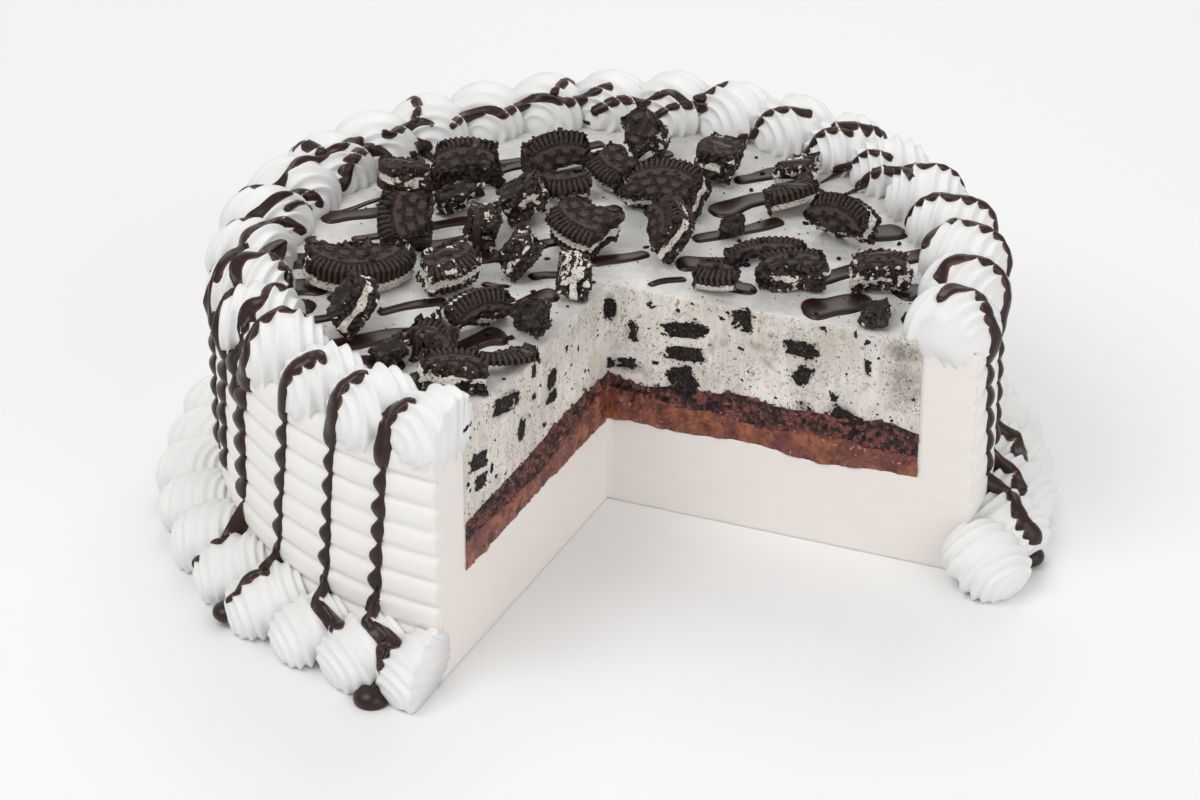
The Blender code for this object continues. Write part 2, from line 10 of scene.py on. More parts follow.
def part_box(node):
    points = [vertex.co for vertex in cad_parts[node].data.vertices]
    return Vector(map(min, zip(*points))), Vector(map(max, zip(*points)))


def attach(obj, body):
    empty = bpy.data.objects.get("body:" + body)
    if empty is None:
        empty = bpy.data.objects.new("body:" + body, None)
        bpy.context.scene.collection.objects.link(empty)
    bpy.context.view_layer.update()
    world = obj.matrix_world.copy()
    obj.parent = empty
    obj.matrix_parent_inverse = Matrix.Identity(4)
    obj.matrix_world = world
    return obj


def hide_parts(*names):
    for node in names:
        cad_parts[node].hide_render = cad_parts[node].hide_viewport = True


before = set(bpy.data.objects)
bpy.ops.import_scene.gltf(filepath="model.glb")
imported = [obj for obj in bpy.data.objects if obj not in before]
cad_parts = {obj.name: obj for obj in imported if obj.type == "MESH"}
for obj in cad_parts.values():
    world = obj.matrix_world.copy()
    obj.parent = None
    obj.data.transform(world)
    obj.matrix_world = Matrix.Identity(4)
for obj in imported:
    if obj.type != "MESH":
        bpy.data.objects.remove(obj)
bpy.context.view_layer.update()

# Ice cream cake with a wedge taken out. Metres, in the frame of the solids: Z is up, and the open wedge
# faces the camera, towards -Y.

mm = 0.001
up = Vector((0, 0, 1))

cake = {
    "wallRadius": 125 * mm,
    "innerRadius": 107 * mm,    # inside of the vanilla wall
    "height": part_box("vanilla")[1].z,
    "baseTop": 31 * mm,
    "fudgeTop": 39 * mm,
    "crunchTop": 47 * mm,
    "corner": Vector((0, -7.5 * mm, 0)),    # where the two cut faces meet
    "rightCut": math.radians(-22.0),
    "leftCut": math.radians(244.8),
    "ridges": 9,
}
ridgePitch = cake["height"] / cake["ridges"]


# Small helpers

def smoothStep(low, high, value):
    share = min(max((value - low) / (high - low), 0), 1)
    return share * share * (3 - 2 * share)


def headingOf(angle):
    return Vector((math.cos(angle), math.sin(angle), 0))


def atAzimuth(azimuth, radius, z):
    return headingOf(azimuth) * radius + up * z


def signedPower(value, power):
    return math.copysign(abs(value) ** power, value)


def meshFrom(bm, name):
    mesh = bpy.data.meshes.new(name)
    bm.to_mesh(mesh)
    bm.free()
    return mesh


def linked(name, data):
    thing = bpy.data.objects.new(name, data)
    bpy.context.scene.collection.objects.link(thing)
    return thing


def pieceFrom(bm, name, material, nodes, smooth=True):
    # turn a bmesh into a shown piece that stands for the named solids
    mesh = meshFrom(bm, name)
    piece = linked(name, mesh)
    mesh.materials.append(material)
    if smooth:
        mesh.shade_smooth()
    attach(piece, "root")
    if nodes:
        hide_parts(*nodes)
    print(f"{name}: {len(mesh.polygons)} faces")
    return piece


def addTo(bm, other):
    # move the geometry of one bmesh into another
    mesh = meshFrom(other, "part")
    bm.from_mesh(mesh)
    bpy.data.meshes.remove(mesh)


def trimmed(bm, place, normal):
    # cut away what lies beyond a plane, and close the cut
    geometry = bm.verts[:] + bm.edges[:] + bm.faces[:]
    cut = bmesh.ops.bisect_plane(bm, geom=geometry, plane_co=place, plane_no=normal, clear_outer=True)
    edges = [item for item in cut["geom_cut"] if isinstance(item, bmesh.types.BMEdge)]
    if edges:
        bmesh.ops.edgeloop_fill(bm, edges=edges)


# The cut faces

cutFaces = {
    "right": {"angle": cake["rightCut"], "outward": -1},
    "left": {"angle": cake["leftCut"], "outward": 1},
}
for face in cutFaces.values():
    face["along"] = headingOf(face["angle"])
    face["normal"] = headingOf(face["angle"] + face["outward"] * math.pi / 2)
cutEdge = {
    "within": 0.02 * mm,            # what is nearer to a cut face than this is on it
    "behind": 0.2 * mm,             # so far behind the corner of the cut, a face still counts
    "fadeIn": (0.2 * mm, 3 * mm),   # where the relief grows from the corner on
}


def reach(angle, radius):
    # how far the circle of that radius is from the corner of the cut, on that heading
    along = cake["corner"].dot(headingOf(angle))
    return math.sqrt(along * along - cake["corner"].length_squared + radius * radius) - along


# The poured layers: how much each surface rises and sinks, and how far apart its waves are

waves = {
    "baseTop": (1.9 * mm, 15 * mm),
    "fudgeTop": (2.0 * mm, 12 * mm),
    "crunchTop": (1.7 * mm, 8 * mm),
}


def waveAt(surface, x, y):
    rise, spacing = waves[surface]
    height = cake[surface] / mm
    slow = math.sin(x / spacing + height) + math.sin(y / spacing + 2 * height)
    fast = math.sin((x - y) / (0.6 * spacing))
    return rise * (slow + 0.7 * fast) / 2


# What shows at the cut faces in the cookies and cream. Each row gives the distance along the cut from the
# corner, the height, the length and height of the place (mm), its tilt (degrees) and how dark or hard it is.

smudges = {
    "right": [
        (25.5, 49, 11, 12, 20, 0.8), (0.5, 70, 8, 11, 0, 0.9), (8.4, 63.6, 6, 9, 0, 0.7),
        (6, 51, 16, 6, 0, 0.9), (79, 48.5, 13, 10, -25, 0.8), (65.9, 49, 7, 5, 0, 0.7),
        (45, 75.3, 9, 9, 0, 0.6), (50.5, 67, 9, 4, -10, 0.5), (54, 61.5, 8, 2.5, -40, 0.45),
        (54.6, 71.8, 3, 3, 0, 0.6), (98, 75, 15, 10, 0, 0.75), (86.5, 67, 3, 8, 0, 0.6),
        (99, 64, 16, 24, 0, 0.6), (39, 66, 5, 4, 0, 0.35),
    ],
    "left": [
        (72, 73.5, 20, 9, 15, 0.8), (40.5, 63.5, 9, 13, 0, 0.4), (62, 59, 7, 8, 0, 0.4),
        (91, 63.5, 13, 8, 0, 0.4), (53, 66, 4, 4, 0, 0.5), (53, 75, 4, 6, 0, 0.4), (0.5, 70, 7, 11, 0, 0.8),
        (98, 79, 8, 3, 0, 0.5), (24, 74, 8, 8, 0, 0.3), (78, 50, 8, 6, 0, 0.3),
    ],
}
chunks = {
    "right": [
        (26.5, 67.8, 13.5, 5.2, 9, 1), (26.9, 59.3, 12.5, 4.8, 8, 1), (45, 75.3, 7, 7.5, 10, 0.55),
        (64.7, 69, 10, 5.6, -2, 1), (65.4, 60, 5, 7.4, -25, 1), (25.5, 49.5, 9, 9, 20, 0.3),
        (0.8, 70.5, 4, 7, 0, 0.7), (8.4, 63.6, 3.5, 6.5, 0, 0.45), (4.5, 51.5, 11, 3.6, 12, 0.7),
        (80, 47.5, 10, 6, -26, 0.6), (65.9, 49, 4.5, 3, 0, 0.4), (86.5, 67.4, 1.6, 5, 5, 0.7),
        (82.3, 78, 1.1, 2.4, 10, 0.8), (86, 76, 1.2, 1.8, 0, 0.7), (72, 78, 1.8, 1.5, 0, 0.8),
        (38.3, 74.5, 1.8, 1.4, 0, 0.7), (76, 54, 2.2, 1.8, 0, 0.7), (35, 45.5, 3.4, 1.6, 0, 0.8),
        (14, 74.5, 1.6, 1.6, 0, 0.8),
    ],
    "left": [
        (72, 73.5, 16, 5.5, 15, 0.55), (40.5, 66, 5.5, 6, 10, 1), (40, 59.5, 5, 4, 0, 0.9),
        (62, 59, 4.5, 6, 20, 0.8), (91, 63.5, 11, 5.2, 15, 0.9), (90, 55.8, 7, 4.2, 10, 0.9),
        (53, 75, 2.2, 4.5, 0, 0.8), (53, 66, 2, 2, 0, 0.5), (98, 79, 6, 1.4, 0, 0.7),
        (1.2, 70.5, 3, 6.5, 0, 0.6), (30, 71, 1.3, 2, 0, 0.8), (22, 67, 1.2, 1.6, 0, 0.8),
        (46, 52, 1.6, 1.2, 0, 0.7), (82, 56, 1.2, 2.2, 0, 0.7),
    ],
}
cookieBits = {
    "halo": 1.0,                    # how many lie round a chunk, for each millimetre of its length and height
    "away": (0.95, 1.3),            # how far from its middle, in half lengths
    "scattered": 80,                # how many more lie all over each face
    "smallest": 0.35, "haloLargest": 0.9, "largest": 1.7,
    "face": (0.6, 104, 46, 78.3),   # where on a face they may lie: along it and in height (mm)
    "seed": 8,
    "finest": [(13, 6), (4.2, 5), (1.9, 4), (0, 2)],    # lumps longer than so much (mm): their subdivisions
    "fill": 0.46,                   # a lump's half width as a share of its length, before its outline wobbles
    "square": 0.5,                  # 1 is round, and less is squarer
    "proud": (0.02, 0.33),          # how far it stands out (mm): a soft one, and what a hard one adds
    "grains": 0.4 * mm,
}


def turned(across, upwards, tilt):
    # the same place in axes that are tilted
    swing = math.radians(tilt)
    return (across * math.cos(swing) + upwards * math.sin(swing),
            upwards * math.cos(swing) - across * math.sin(swing))


def smudgeAt(side, ahead, z):
    darkest = 0
    for middle, height, length, tall, tilt, strength in smudges[side]:
        across, upwards = turned(ahead - middle, z - height, tilt)
        away = math.hypot(across / length, upwards / tall) * 2
        darkest = max(darkest, strength * smoothStep(1.15, 0.25, away))
    return darkest


def chunkRows(side):
    # the rows of the table, each with bits that broke off round it, then small bits all over
    rng = random.Random(cookieBits["seed"] + cutFaces[side]["outward"])
    small, large = cookieBits["smallest"], cookieBits["largest"]
    first, last, lowest, highest = cookieBits["face"]
    for row in chunks[side]:
        yield row
        middle, height, length, tall, tilt, hard = row
        for _ in range(round(cookieBits["halo"] * (length + tall))):
            angle, away = rng.uniform(0, 2 * math.pi), 0.5 * rng.uniform(*cookieBits["away"])
            size = rng.uniform(small, cookieBits["haloLargest"])
            across, upwards = turned(signedPower(math.cos(angle), 0.6) * length,
                                     signedPower(math.sin(angle), 0.6) * tall, -tilt)
            ahead, z = middle + away * across, height + away * upwards
            if first < ahead < last and lowest < z < highest:
                yield ahead, z, size * rng.uniform(1, 1.8), size, rng.uniform(-60, 60), 0.5 * hard
    for _ in range(cookieBits["scattered"]):
        size = small + (large - small) * rng.random() ** 4
        yield (rng.uniform(2, 102), rng.uniform(48, 78), size * rng.uniform(1, 2), size, rng.uniform(-60, 60),
               rng.uniform(0.1, 0.6))


def cookieLump(face, row, seed):
    middle, height, length, tall, tilt, hard = row
    lump = bmesh.new()
    finest = next(level for longer, level in cookieBits["finest"] if length > longer)
    bmesh.ops.create_icosphere(lump, subdivisions=finest, radius=1)
    proud = (cookieBits["proud"][0] + cookieBits["proud"][1] * hard) * mm
    for vertex in lump.verts:
        way = vertex.co.copy()
        outline = 1 + 0.4 * noise.noise(way * 1.6 + seed) + 0.3 * noise.noise(way * 4 + seed)
        outline += 0.3 * (0.4 - noise.voronoi(way * 4.5 + seed)[0][0])
        outline += 0.14 * noise.noise(way * 22 + seed)
        outline *= cookieBits["fill"] * mm
        across, upwards = turned(signedPower(way.x, cookieBits["square"]) * outline * length,
                                 signedPower(way.z, cookieBits["square"]) * outline * tall, -tilt)
        ahead, z = middle * mm + across, height * mm + upwards
        grains = 0.4 - noise.voronoi(Vector((ahead, z, 0)) * 900 + seed)[0][0]
        out = min(way.y * 2 * mm, proud)
        out += cookieBits["grains"] * grains * (way.y > 0) * min(1, length / 4)
        vertex.co = cake["corner"] + face["along"] * ahead + up * z + face["normal"] * out
    bmesh.ops.recalc_face_normals(lump, faces=lump.faces)
    return lump


def buildChunks(material):
    # lumps of cookie, sunk in the cut faces and cut nearly flush; the harder ones stand a little proud
    bm = bmesh.new()
    for side, face in cutFaces.items():
        for number, row in enumerate(chunkRows(side)):
            addTo(bm, cookieLump(face, row, Vector((number * 3.7, face["outward"] * 5, 0))))
    return pieceFrom(bm, "cookieInCream", material, ["cookies_and_cream"])


def sectorSolid(columns, rows, steps, spacing, shapeOf):
    # A grid of the layer's section is turned round the corner of the cut and fitted to the round cake.
    # spacing gives a radius and a share of the height for each grid point, or None to leave it out,
    # and shapeOf gives the height of that share at a place on the cake.
    bm = bmesh.new()
    bmesh.ops.create_grid(bm, x_segments=columns, y_segments=rows, size=0.5)
    share = bm.verts.layers.float.new("share")
    unused = []
    for vertex in bm.verts:
        spot = spacing(vertex.co.x + 0.5, vertex.co.y + 0.5)
        if spot is None:
            unused.append(vertex)
        else:
            vertex[share] = spot[1]
            vertex.co = (spot[0], 0, spot[1] * mm)
    bmesh.ops.delete(bm, geom=unused, context='VERTS')
    turn = cake["leftCut"] - cake["rightCut"]
    bmesh.ops.rotate(bm, verts=bm.verts, matrix=Matrix.Rotation(cake["rightCut"], 3, 'Z'))
    bmesh.ops.spin(bm, geom=bm.faces[:] + bm.edges[:] + bm.verts[:], axis=up, angle=turn, steps=steps)
    smallest = 0.2 * cake["innerRadius"]
    for vertex in bm.verts:
        radius = vertex.co.xy.length
        angle = math.atan2(vertex.co.y, vertex.co.x)
        distance = reach(angle, max(radius, smallest)) * min(1, radius / smallest)
        place = cake["corner"] + headingOf(angle) * distance
        vertex.co = (place.x, place.y, shapeOf(place.x, place.y, radius, vertex[share]))
    bmesh.ops.remove_doubles(bm, verts=bm.verts, dist=0.01 * mm)
    bmesh.ops.recalc_face_normals(bm, faces=bm.faces)
    return bm


def roughenCut(bm, relief, deepest):
    # push the cut faces in and out by a relief that takes the distance along the cut and the height
    cutLayer = bm.verts.layers.float.new("cut")
    # the relief is kept too, as a share of the deepest; the fudge and crunch materials paint shade into the
    # hollows and light onto the lumps from it
    reliefShadeLayer = bm.verts.layers.float.new("relief")
    smudgeLayer = bm.verts.layers.float.new("smudge")
    for side, face in cutFaces.items():
        for vertex in bm.verts:
            offset = vertex.co - cake["corner"]
            ahead = offset.dot(face["along"])
            if ahead > -cutEdge["behind"] and abs(offset.dot(face["normal"])) < cutEdge["within"]:
                depth = relief(ahead, vertex.co.z, face["outward"])
                vertex[cutLayer] = 1
                vertex[reliefShadeLayer] = depth / deepest
                vertex[smudgeLayer] = smudgeAt(side, ahead / mm, vertex.co.z / mm)
                vertex.co += face["normal"] * depth * smoothStep(*cutEdge["fadeIn"], ahead)


# Swirls, piped in two rows

topRow = {
    "first": math.radians(-20.6), "last": math.radians(243.2), "count": 25, "seed": 11,
    "inner": 99 * mm, "outer": 126.5 * mm, "innerZ": 83 * mm, "outerZ": 81.5 * mm,
    "radius": 12.2 * mm, "widen": 1.2, "droop": 1.8 * mm, "ribs": 9, "rowsPerRib": 7, "around": 44,
    "ribDepth": 1.9 * mm,
    "sharp": 0.9, "outerFade": 0.55,    # how sharp the ribs are, and how much they fade towards the outer end
}
footRow = {
    "first": math.radians(-26.5), "last": math.radians(245.0), "count": 31, "seed": 5,
    "inner": 119 * mm, "outer": 144.5 * mm, "innerZ": 13.5 * mm, "outerZ": 3.5 * mm,
    "radius": 10.6 * mm, "widen": 1.25, "droop": 0.5 * mm, "ribs": 10, "rowsPerRib": 6, "around": 40,
    "ribDepth": 1.5 * mm,
    "sharp": 0.35, "outerFade": 0.6,
}
piping = {
    "roundness": 2.6,
    "yaw": math.radians(26),    # how far a swirl's outer end is turned clockwise of straight out
    "wobble": 0.5 * mm,
    "apart": [Vector((0, 0, 0)), Vector((31, 0, 17)), Vector((-23, 41, 0))],    # each way wobbles on its own
    "lump": 9 * mm,             # how far apart the wobbles are
    "size": (0.95, 1.05), "length": (0.97, 1.03), "roll": (-0.3, 0.3), "turn": (-3, 3), "lift": (-0.6, 0.6),
    "flush": 0.15 * mm,         # how far a cut swirl stands in front of the cut faces
    "floor": 0.05 * mm,         # how far over the floor the foot ends
    "nearCut": {"top": math.radians(30), "foot": math.radians(20)},
    "fadeIn": 2.6,              # how soon the ribs grow from the ends of a swirl
    "fadeOut": (0.6 * math.pi, 0.85 * math.pi),
}


def rowAzimuths(row):
    step = (row["last"] - row["first"]) / (row["count"] - 1)
    return [row["first"] + step * number for number in range(row["count"])]


def pipedSwirl(row, rng, azimuth):
    # A grid rolled into a barrel. Each turn round the barrel moves it on by one rib, so the ribs run on
    # as one rope and end in a curl at both ends.
    half = math.hypot(row["outer"] - row["inner"], row["outerZ"] - row["innerZ"]) / 2
    power = 2 / piping["roundness"]
    rowCount = (row["ribs"] + 1) * row["rowsPerRib"]
    bm = bmesh.new()
    bmesh.ops.create_grid(bm, x_segments=rowCount, y_segments=row["around"], size=0.5)
    size = rng.uniform(*piping["size"])
    widen = Matrix.Diagonal((rng.uniform(*piping["length"]), size * row["widen"], size, 1))
    roll = Matrix.Rotation(rng.uniform(*piping["roll"]), 4, 'X')
    yaw = azimuth - piping["yaw"] + math.radians(rng.uniform(*piping["turn"]))
    middleZ = (row["innerZ"] + row["outerZ"]) / 2 + rng.uniform(*piping["lift"]) * mm
    for vertex in bm.verts:
        rib = (vertex.co.x + 0.5) * (row["ribs"] + 1)
        turn = vertex.co.y + 0.5
        along = min(max((rib - turn) / row["ribs"], 0), 1) * math.pi
        crest = (1 - abs(math.sin(math.pi * rib))) * row["sharp"]
        crest += (0.5 + 0.5 * math.cos(2 * math.pi * rib)) * (1 - row["sharp"])
        fade = min(1, piping["fadeIn"] * math.sin(along))
        fade *= 1 - row["outerFade"] * smoothStep(*piping["fadeOut"], along)
        depth = row["ribDepth"] * fade * (1 - crest)
        normal = Vector((-math.cos(along) * row["radius"], math.sin(along) * half)).normalized()
        x = -signedPower(math.cos(along), power) * half - normal.x * depth
        r = math.sin(along) ** power * row["radius"] - normal.y * depth
        side = 2 * math.pi * turn
        vertex.co = (x, r * math.cos(side), r * math.sin(side))
    bmesh.ops.remove_doubles(bm, verts=bm.verts, dist=0.02 * mm)
    for vertex in bm.verts:
        spot = vertex.co / piping["lump"] + Vector((azimuth * 7, 0, row["seed"]))
        bend = Vector([noise.noise(spot + apart) for apart in piping["apart"]])
        vertex.co += bend * piping["wobble"]
        vertex.co.z -= row["droop"] * (vertex.co.x / half) ** 2
    tilt = Matrix.Rotation(math.atan2(row["innerZ"] - row["outerZ"], row["outer"] - row["inner"]), 4, 'Y')
    place = Matrix.Translation(atAzimuth(azimuth, (row["inner"] + row["outer"]) / 2, middleZ))
    lay = place @ Matrix.Rotation(yaw, 4, 'Z') @ tilt @ widen @ roll
    bmesh.ops.transform(bm, matrix=lay, verts=bm.verts)
    bmesh.ops.recalc_face_normals(bm, faces=bm.faces)
    return bm


def buildSwirls(row, name, nodeName, material, trims):
    rng = random.Random(row["seed"])
    border = bmesh.new()
    for azimuth in rowAzimuths(row):
        swirl = pipedSwirl(row, rng, azimuth)
        for place, normal in trims(azimuth):
            trimmed(swirl, place, normal)
        addTo(border, swirl)
    return pieceFrom(border, name, material, [nodeName])


def trimsAtTop(azimuth):
    # the swirls at the two ends are cut flush with the cut faces, a hair in front of the wall
    for face in cutFaces.values():
        if abs(azimuth - face["angle"]) < piping["nearCut"]["top"]:
            yield cake["corner"] + face["normal"] * piping["flush"], face["normal"]


def trimsAtFoot(azimuth):
    yield up * piping["floor"], -up
    left = cutFaces["left"]
    if abs(azimuth - left["angle"]) < piping["nearCut"]["foot"]:
        yield cake["corner"] + left["normal"] * piping["flush"], left["normal"]


# Broken sandwich cookies: a fluted disc is broken as its solid is, remeshed finely, then embossed and
# crumbled. Each row gives where the piece lies (x, y, mm), if it keeps a stretch of the rim, its width and
# depth (mm), its layers, the heading of its rim, its lean and roll (degrees), and how its filling shows.

cookie = {
    "radius": 22.5 * mm,
    "sides": 96,
    "thickness": {1: 4.2 * mm, 2: 7.0 * mm, 3: 10.2 * mm},
    "wafer": 3.9 * mm,
    "breakAngle": math.radians(13),
    "breakSlope": math.radians(12),
    "chip": 0.36,
    "voxel": 0.36 * mm,
    "flutes": 72,
    "fluteDepth": 0.85 * mm,
    "fillingSetBack": 1.0 * mm,
    "emboss": 0.7 * mm,
    "coarse": 2.2 * mm,     # how rough a broken side is: in its sweep, its lumps and its grains
    "lumps": 1.5 * mm,
    "grains": 0.35 * mm,
    "chipped": 1.3 * mm,    # how far the edges of the faces have crumbled down
    "shoulder": 19 * mm,    # outside this radius the faces fall away
    "bevel": 1.1 * mm,
    "flutesFrom": (17.9 * mm, 18.6 * mm),
    "ring": 16.6,           # radius of the pattern's ring (mm)
    "strokes": {"rows": 4, "first": 1.5, "apart": 3.6, "perRow": 5},
    "filling": {2: 2.8 * mm, "low": 4 * mm},    # how high the filling reaches under a single wafer
    "soft": 0.15 * mm,      # between the filling and a wafer
    "lift": 0.3 * mm,       # how high the pieces lie above the top
}
# how its filling shows: how much of it is bare where a piece broke, and how patchy the smears of it are
fillings = {
    "dark": (0.05, 0.75), "crumbly": (0.42, 0.42), "clean": (0.9, 0.62), "creamy": (0.75, 0.2),
    "low": (1, 0.62),
}
cookiePieces = [
    (-67, 50, True, 18, 15, 3, 195, 10, -14, "crumbly"), (-46, 61, True, 21, 14, 3, 95, 30, -8, "dark"),
    (-17, 70, True, 21, 12, 3, 112, 60, 8, "dark"), (-12.5, 49, True, 15, 9, 2, -80, -16, -5, "dark"),
    (1.5, 60, True, 16, 14, 2, -145, -12, 10, "dark"), (12.5, 75, False, 16, 12, 3, 20, 26, -16, "crumbly"),
    (36, 66, True, 18, 14, 3, 165, 8, -8, "crumbly"), (19, 44, True, 25, 17, 3, 75, 28, 6, "clean"),
    (-27, 37, False, 15, 13, 3, 10, 30, 10, "crumbly"), (-49, 41.5, False, 14, 10, 2, -60, 8, -6, "crumbly"),
    (-65, 18, True, 18, 17, 3, 180, 4, 36, "dark"), (-87, 5, True, 19, 9, 1, 120, 14, 4, "dark"),
    (-77, -11, True, 34, 15, 3, -76, -9, 3, "low"), (-40, 18, False, 13, 12, 3, 0, 74, 0, "crumbly"),
    (-9, 15, True, 19, 16, 3, -135, -10, 10, "clean"), (-28, -2, False, 13, 10, 3, -15, 52, 0, "crumbly"),
    (-10.5, -16, False, 9, 12, 3, 5, 80, 0, "creamy"), (-49, -11, True, 18, 13, 3, -55, -12, -6, "creamy"),
    (-41, -37, True, 22, 10, 3, 125, 66, 0, "clean"), (-23, -39, False, 12, 10, 2, 40, 26, 10, "dark"),
    (-78, -38, False, 15, 14, 3, 5, 52, 0, "clean"), (-53, -51, True, 14, 9, 2, 60, 26, -8, "dark"),
    (-66, -58.5, False, 12, 10, 1, 20, 14, 10, "dark"), (-47, -73.5, True, 19, 12, 3, 98, 8, -3, "clean"),
    (-30, -62, True, 19, 8, 1, -70, 8, 5, "dark"), (20, 13, True, 19, 14, 3, 12, 50, 0, "clean"),
    (34, -12, True, 14, 10, 2, -110, -8, -6, "dark"), (40, 25.5, False, 9, 7, 1, 0, 8, 0, "dark"),
    (50, 10, True, 25, 8.5, 1, 95, 10, 5, "dark"), (57.5, -8.5, True, 20, 12, 3, 92, 5, 3, "crumbly"),
    (63, 60, False, 18, 10, 2, -15, 8, 10, "creamy"), (60, 42, True, 18, 12, 2, -70, 14, -8, "dark"),
    (76, 22, True, 21, 12, 3, 48, 58, 0, "clean"), (85.5, -11, True, 18, 11, 3, 75, 10, 6, "creamy"),
    (83, -32, False, 11, 9, 1, 0, 10, 6, "dark"),
]


def brokenSide(bm, rng, place, outward):
    swing = Matrix.Rotation(rng.uniform(-cookie["breakAngle"], cookie["breakAngle"]), 3, 'Z')
    normal = swing @ Vector(outward)
    normal.z = math.tan(rng.uniform(-cookie["breakSlope"], cookie["breakSlope"]))
    trimmed(bm, place, normal)
    return Vector(place), normal.normalized()


def remeshed(bm, voxel):
    mesh = meshFrom(bm, "rough")
    rough = linked("rough", mesh)
    remesh = rough.modifiers.new("remesh", 'REMESH')
    remesh.mode = 'VOXEL'
    remesh.voxel_size = voxel
    shaped = rough.evaluated_get(bpy.context.evaluated_depsgraph_get())
    fine = bmesh.new()
    fine.from_mesh(shaped.data)
    bpy.data.objects.remove(rough, do_unlink=True)
    bpy.data.meshes.remove(mesh)
    return fine


def embossAt(place):
    # a plain generic pattern inside the fluted band: a ring, and rings of short strokes
    strokes = cookie["strokes"]
    radius, angle = place.xy.length / mm, math.atan2(place.y, place.x)
    ring = smoothStep(0.8, 0.35, abs(radius - cookie["ring"]))
    row = round((radius - strokes["first"]) / strokes["apart"])
    if not 0 < row <= strokes["rows"]:
        return ring
    off = (angle * strokes["perRow"] * row / (2 * math.pi) + 0.25 * row) % 1 - 0.5
    long = smoothStep(1.3, 0.9, abs(radius - strokes["first"] - row * strokes["apart"]))
    return max(ring, long * smoothStep(0.36, 0.2, abs(off)))


def fillingAt(place, half, layers, showing, crumb, seed):
    # 1 in the filling, 0 in a wafer
    z = place.z + 1.1 * mm * noise.noise(place * 260 + seed) * (0.3 + 0.7 * crumb)
    soft = cookie["soft"]
    inside = 0
    if showing == "low" or layers == 2:
        inside = smoothStep(soft, -soft, z + half - cookie["filling"]["low" if showing == "low" else 2])
    elif layers == 3:
        inside = smoothStep(soft, -soft, abs(z) - half + cookie["wafer"])
    bare, patchy = fillings[showing]
    cover = 0.5 + 0.9 * noise.noise(place * 150 - seed) + 0.5 * noise.noise(place * 500 + seed)
    shown = smoothStep(-0.05, 0.05, bare - cover) * crumb + (1 - crumb)
    smear = noise.fractal(place * 420 + seed, 0.7, 2.1, 3)
    if showing == "creamy":
        crumb = max(crumb, smoothStep(0.2, -0.2, noise.noise(place * 120 - seed)))
    return max(inside * shown, crumb * smoothStep(patchy, patchy + 0.08, smear))


def wornAt(spot, normal, half, piece, sides, seed):
    # how far a point of a piece moves, how much filling and how much crumbled break is there, and its relief,
    # -1 in the grooves and pits and 1 on what stands out; the cookie material paints shade into the grooves
    # and pits and light onto what stands out from it
    rim, layers, showing = piece[2], piece[5], piece[9]
    radius = spot.xy.length
    inside = min((side - spot).dot(outward) for side, outward in sides)
    face = smoothStep(0.7, 0.92, abs(normal.z)) * smoothStep(half - 0.7 * mm, half - 0.3 * mm, abs(spot.z))
    onRim = 0
    if rim:
        onRim = smoothStep(cookie["radius"] - 1.2 * mm, cookie["radius"] - 0.5 * mm, radius)
        onRim *= smoothStep(0.3, 0.6, normal.xy.dot(spot.xy) / radius)
    crumbled = max(0.5 * mm, (1.5 + 3.0 * noise.noise(spot * 230 + seed)) * mm)
    chipped = smoothStep(crumbled, 0.2 * crumbled, inside)
    crumb = max(1 - max(face, onRim), chipped)
    cream = fillingAt(spot, half, layers, showing, crumb, seed)

    lumps = 0.45 - noise.voronoi(spot * 600 + seed)[0][0]
    grains = noise.fractal(spot * 900 + seed, 0.6, 2.0, 3)
    rough = cookie["coarse"] * noise.noise(spot * 190 + seed) + cookie["lumps"] * lumps * (1 - 0.6 * cream)
    rough += cookie["grains"] * grains
    move = normal * crumb * rough + normal * (1 - crumb) * 0.1 * mm * grains
    flute = 0.5 - 0.5 * math.cos(cookie["flutes"] * math.atan2(spot.y, spot.x))
    flute *= smoothStep(*cookie["flutesFrom"], radius) * (1 - cream)
    pattern = embossAt(spot) * (1 - cream)
    if face:
        sink = max(0, radius - cookie["shoulder"]) ** 2 * 95
        sink += flute * cookie["fluteDepth"] * (1 - 0.6 * onRim) - cookie["emboss"] * (pattern - 0.5)
        move.z -= math.copysign(face * (sink + chipped * cookie["chipped"]), spot.z)
    if onRim:
        outward = Vector((spot.x, spot.y, 0)) / radius
        move -= outward * onRim * (flute * cookie["fluteDepth"] + cookie["fillingSetBack"] * cream)
        bevel = cookie["bevel"] * smoothStep(half - 2.2 * mm, half, abs(spot.z))
        move.z -= math.copysign(onRim * bevel, spot.z)
    pressed = 1 - 2 * flute if radius > sum(cookie["flutesFrom"]) / 2 else 1.6 * pattern - 0.6
    relief = crumb * min(1, max(-1, 3.2 * lumps + 0.4 * grains)) + (1 - crumb) * pressed
    return move, cream, crumb, relief


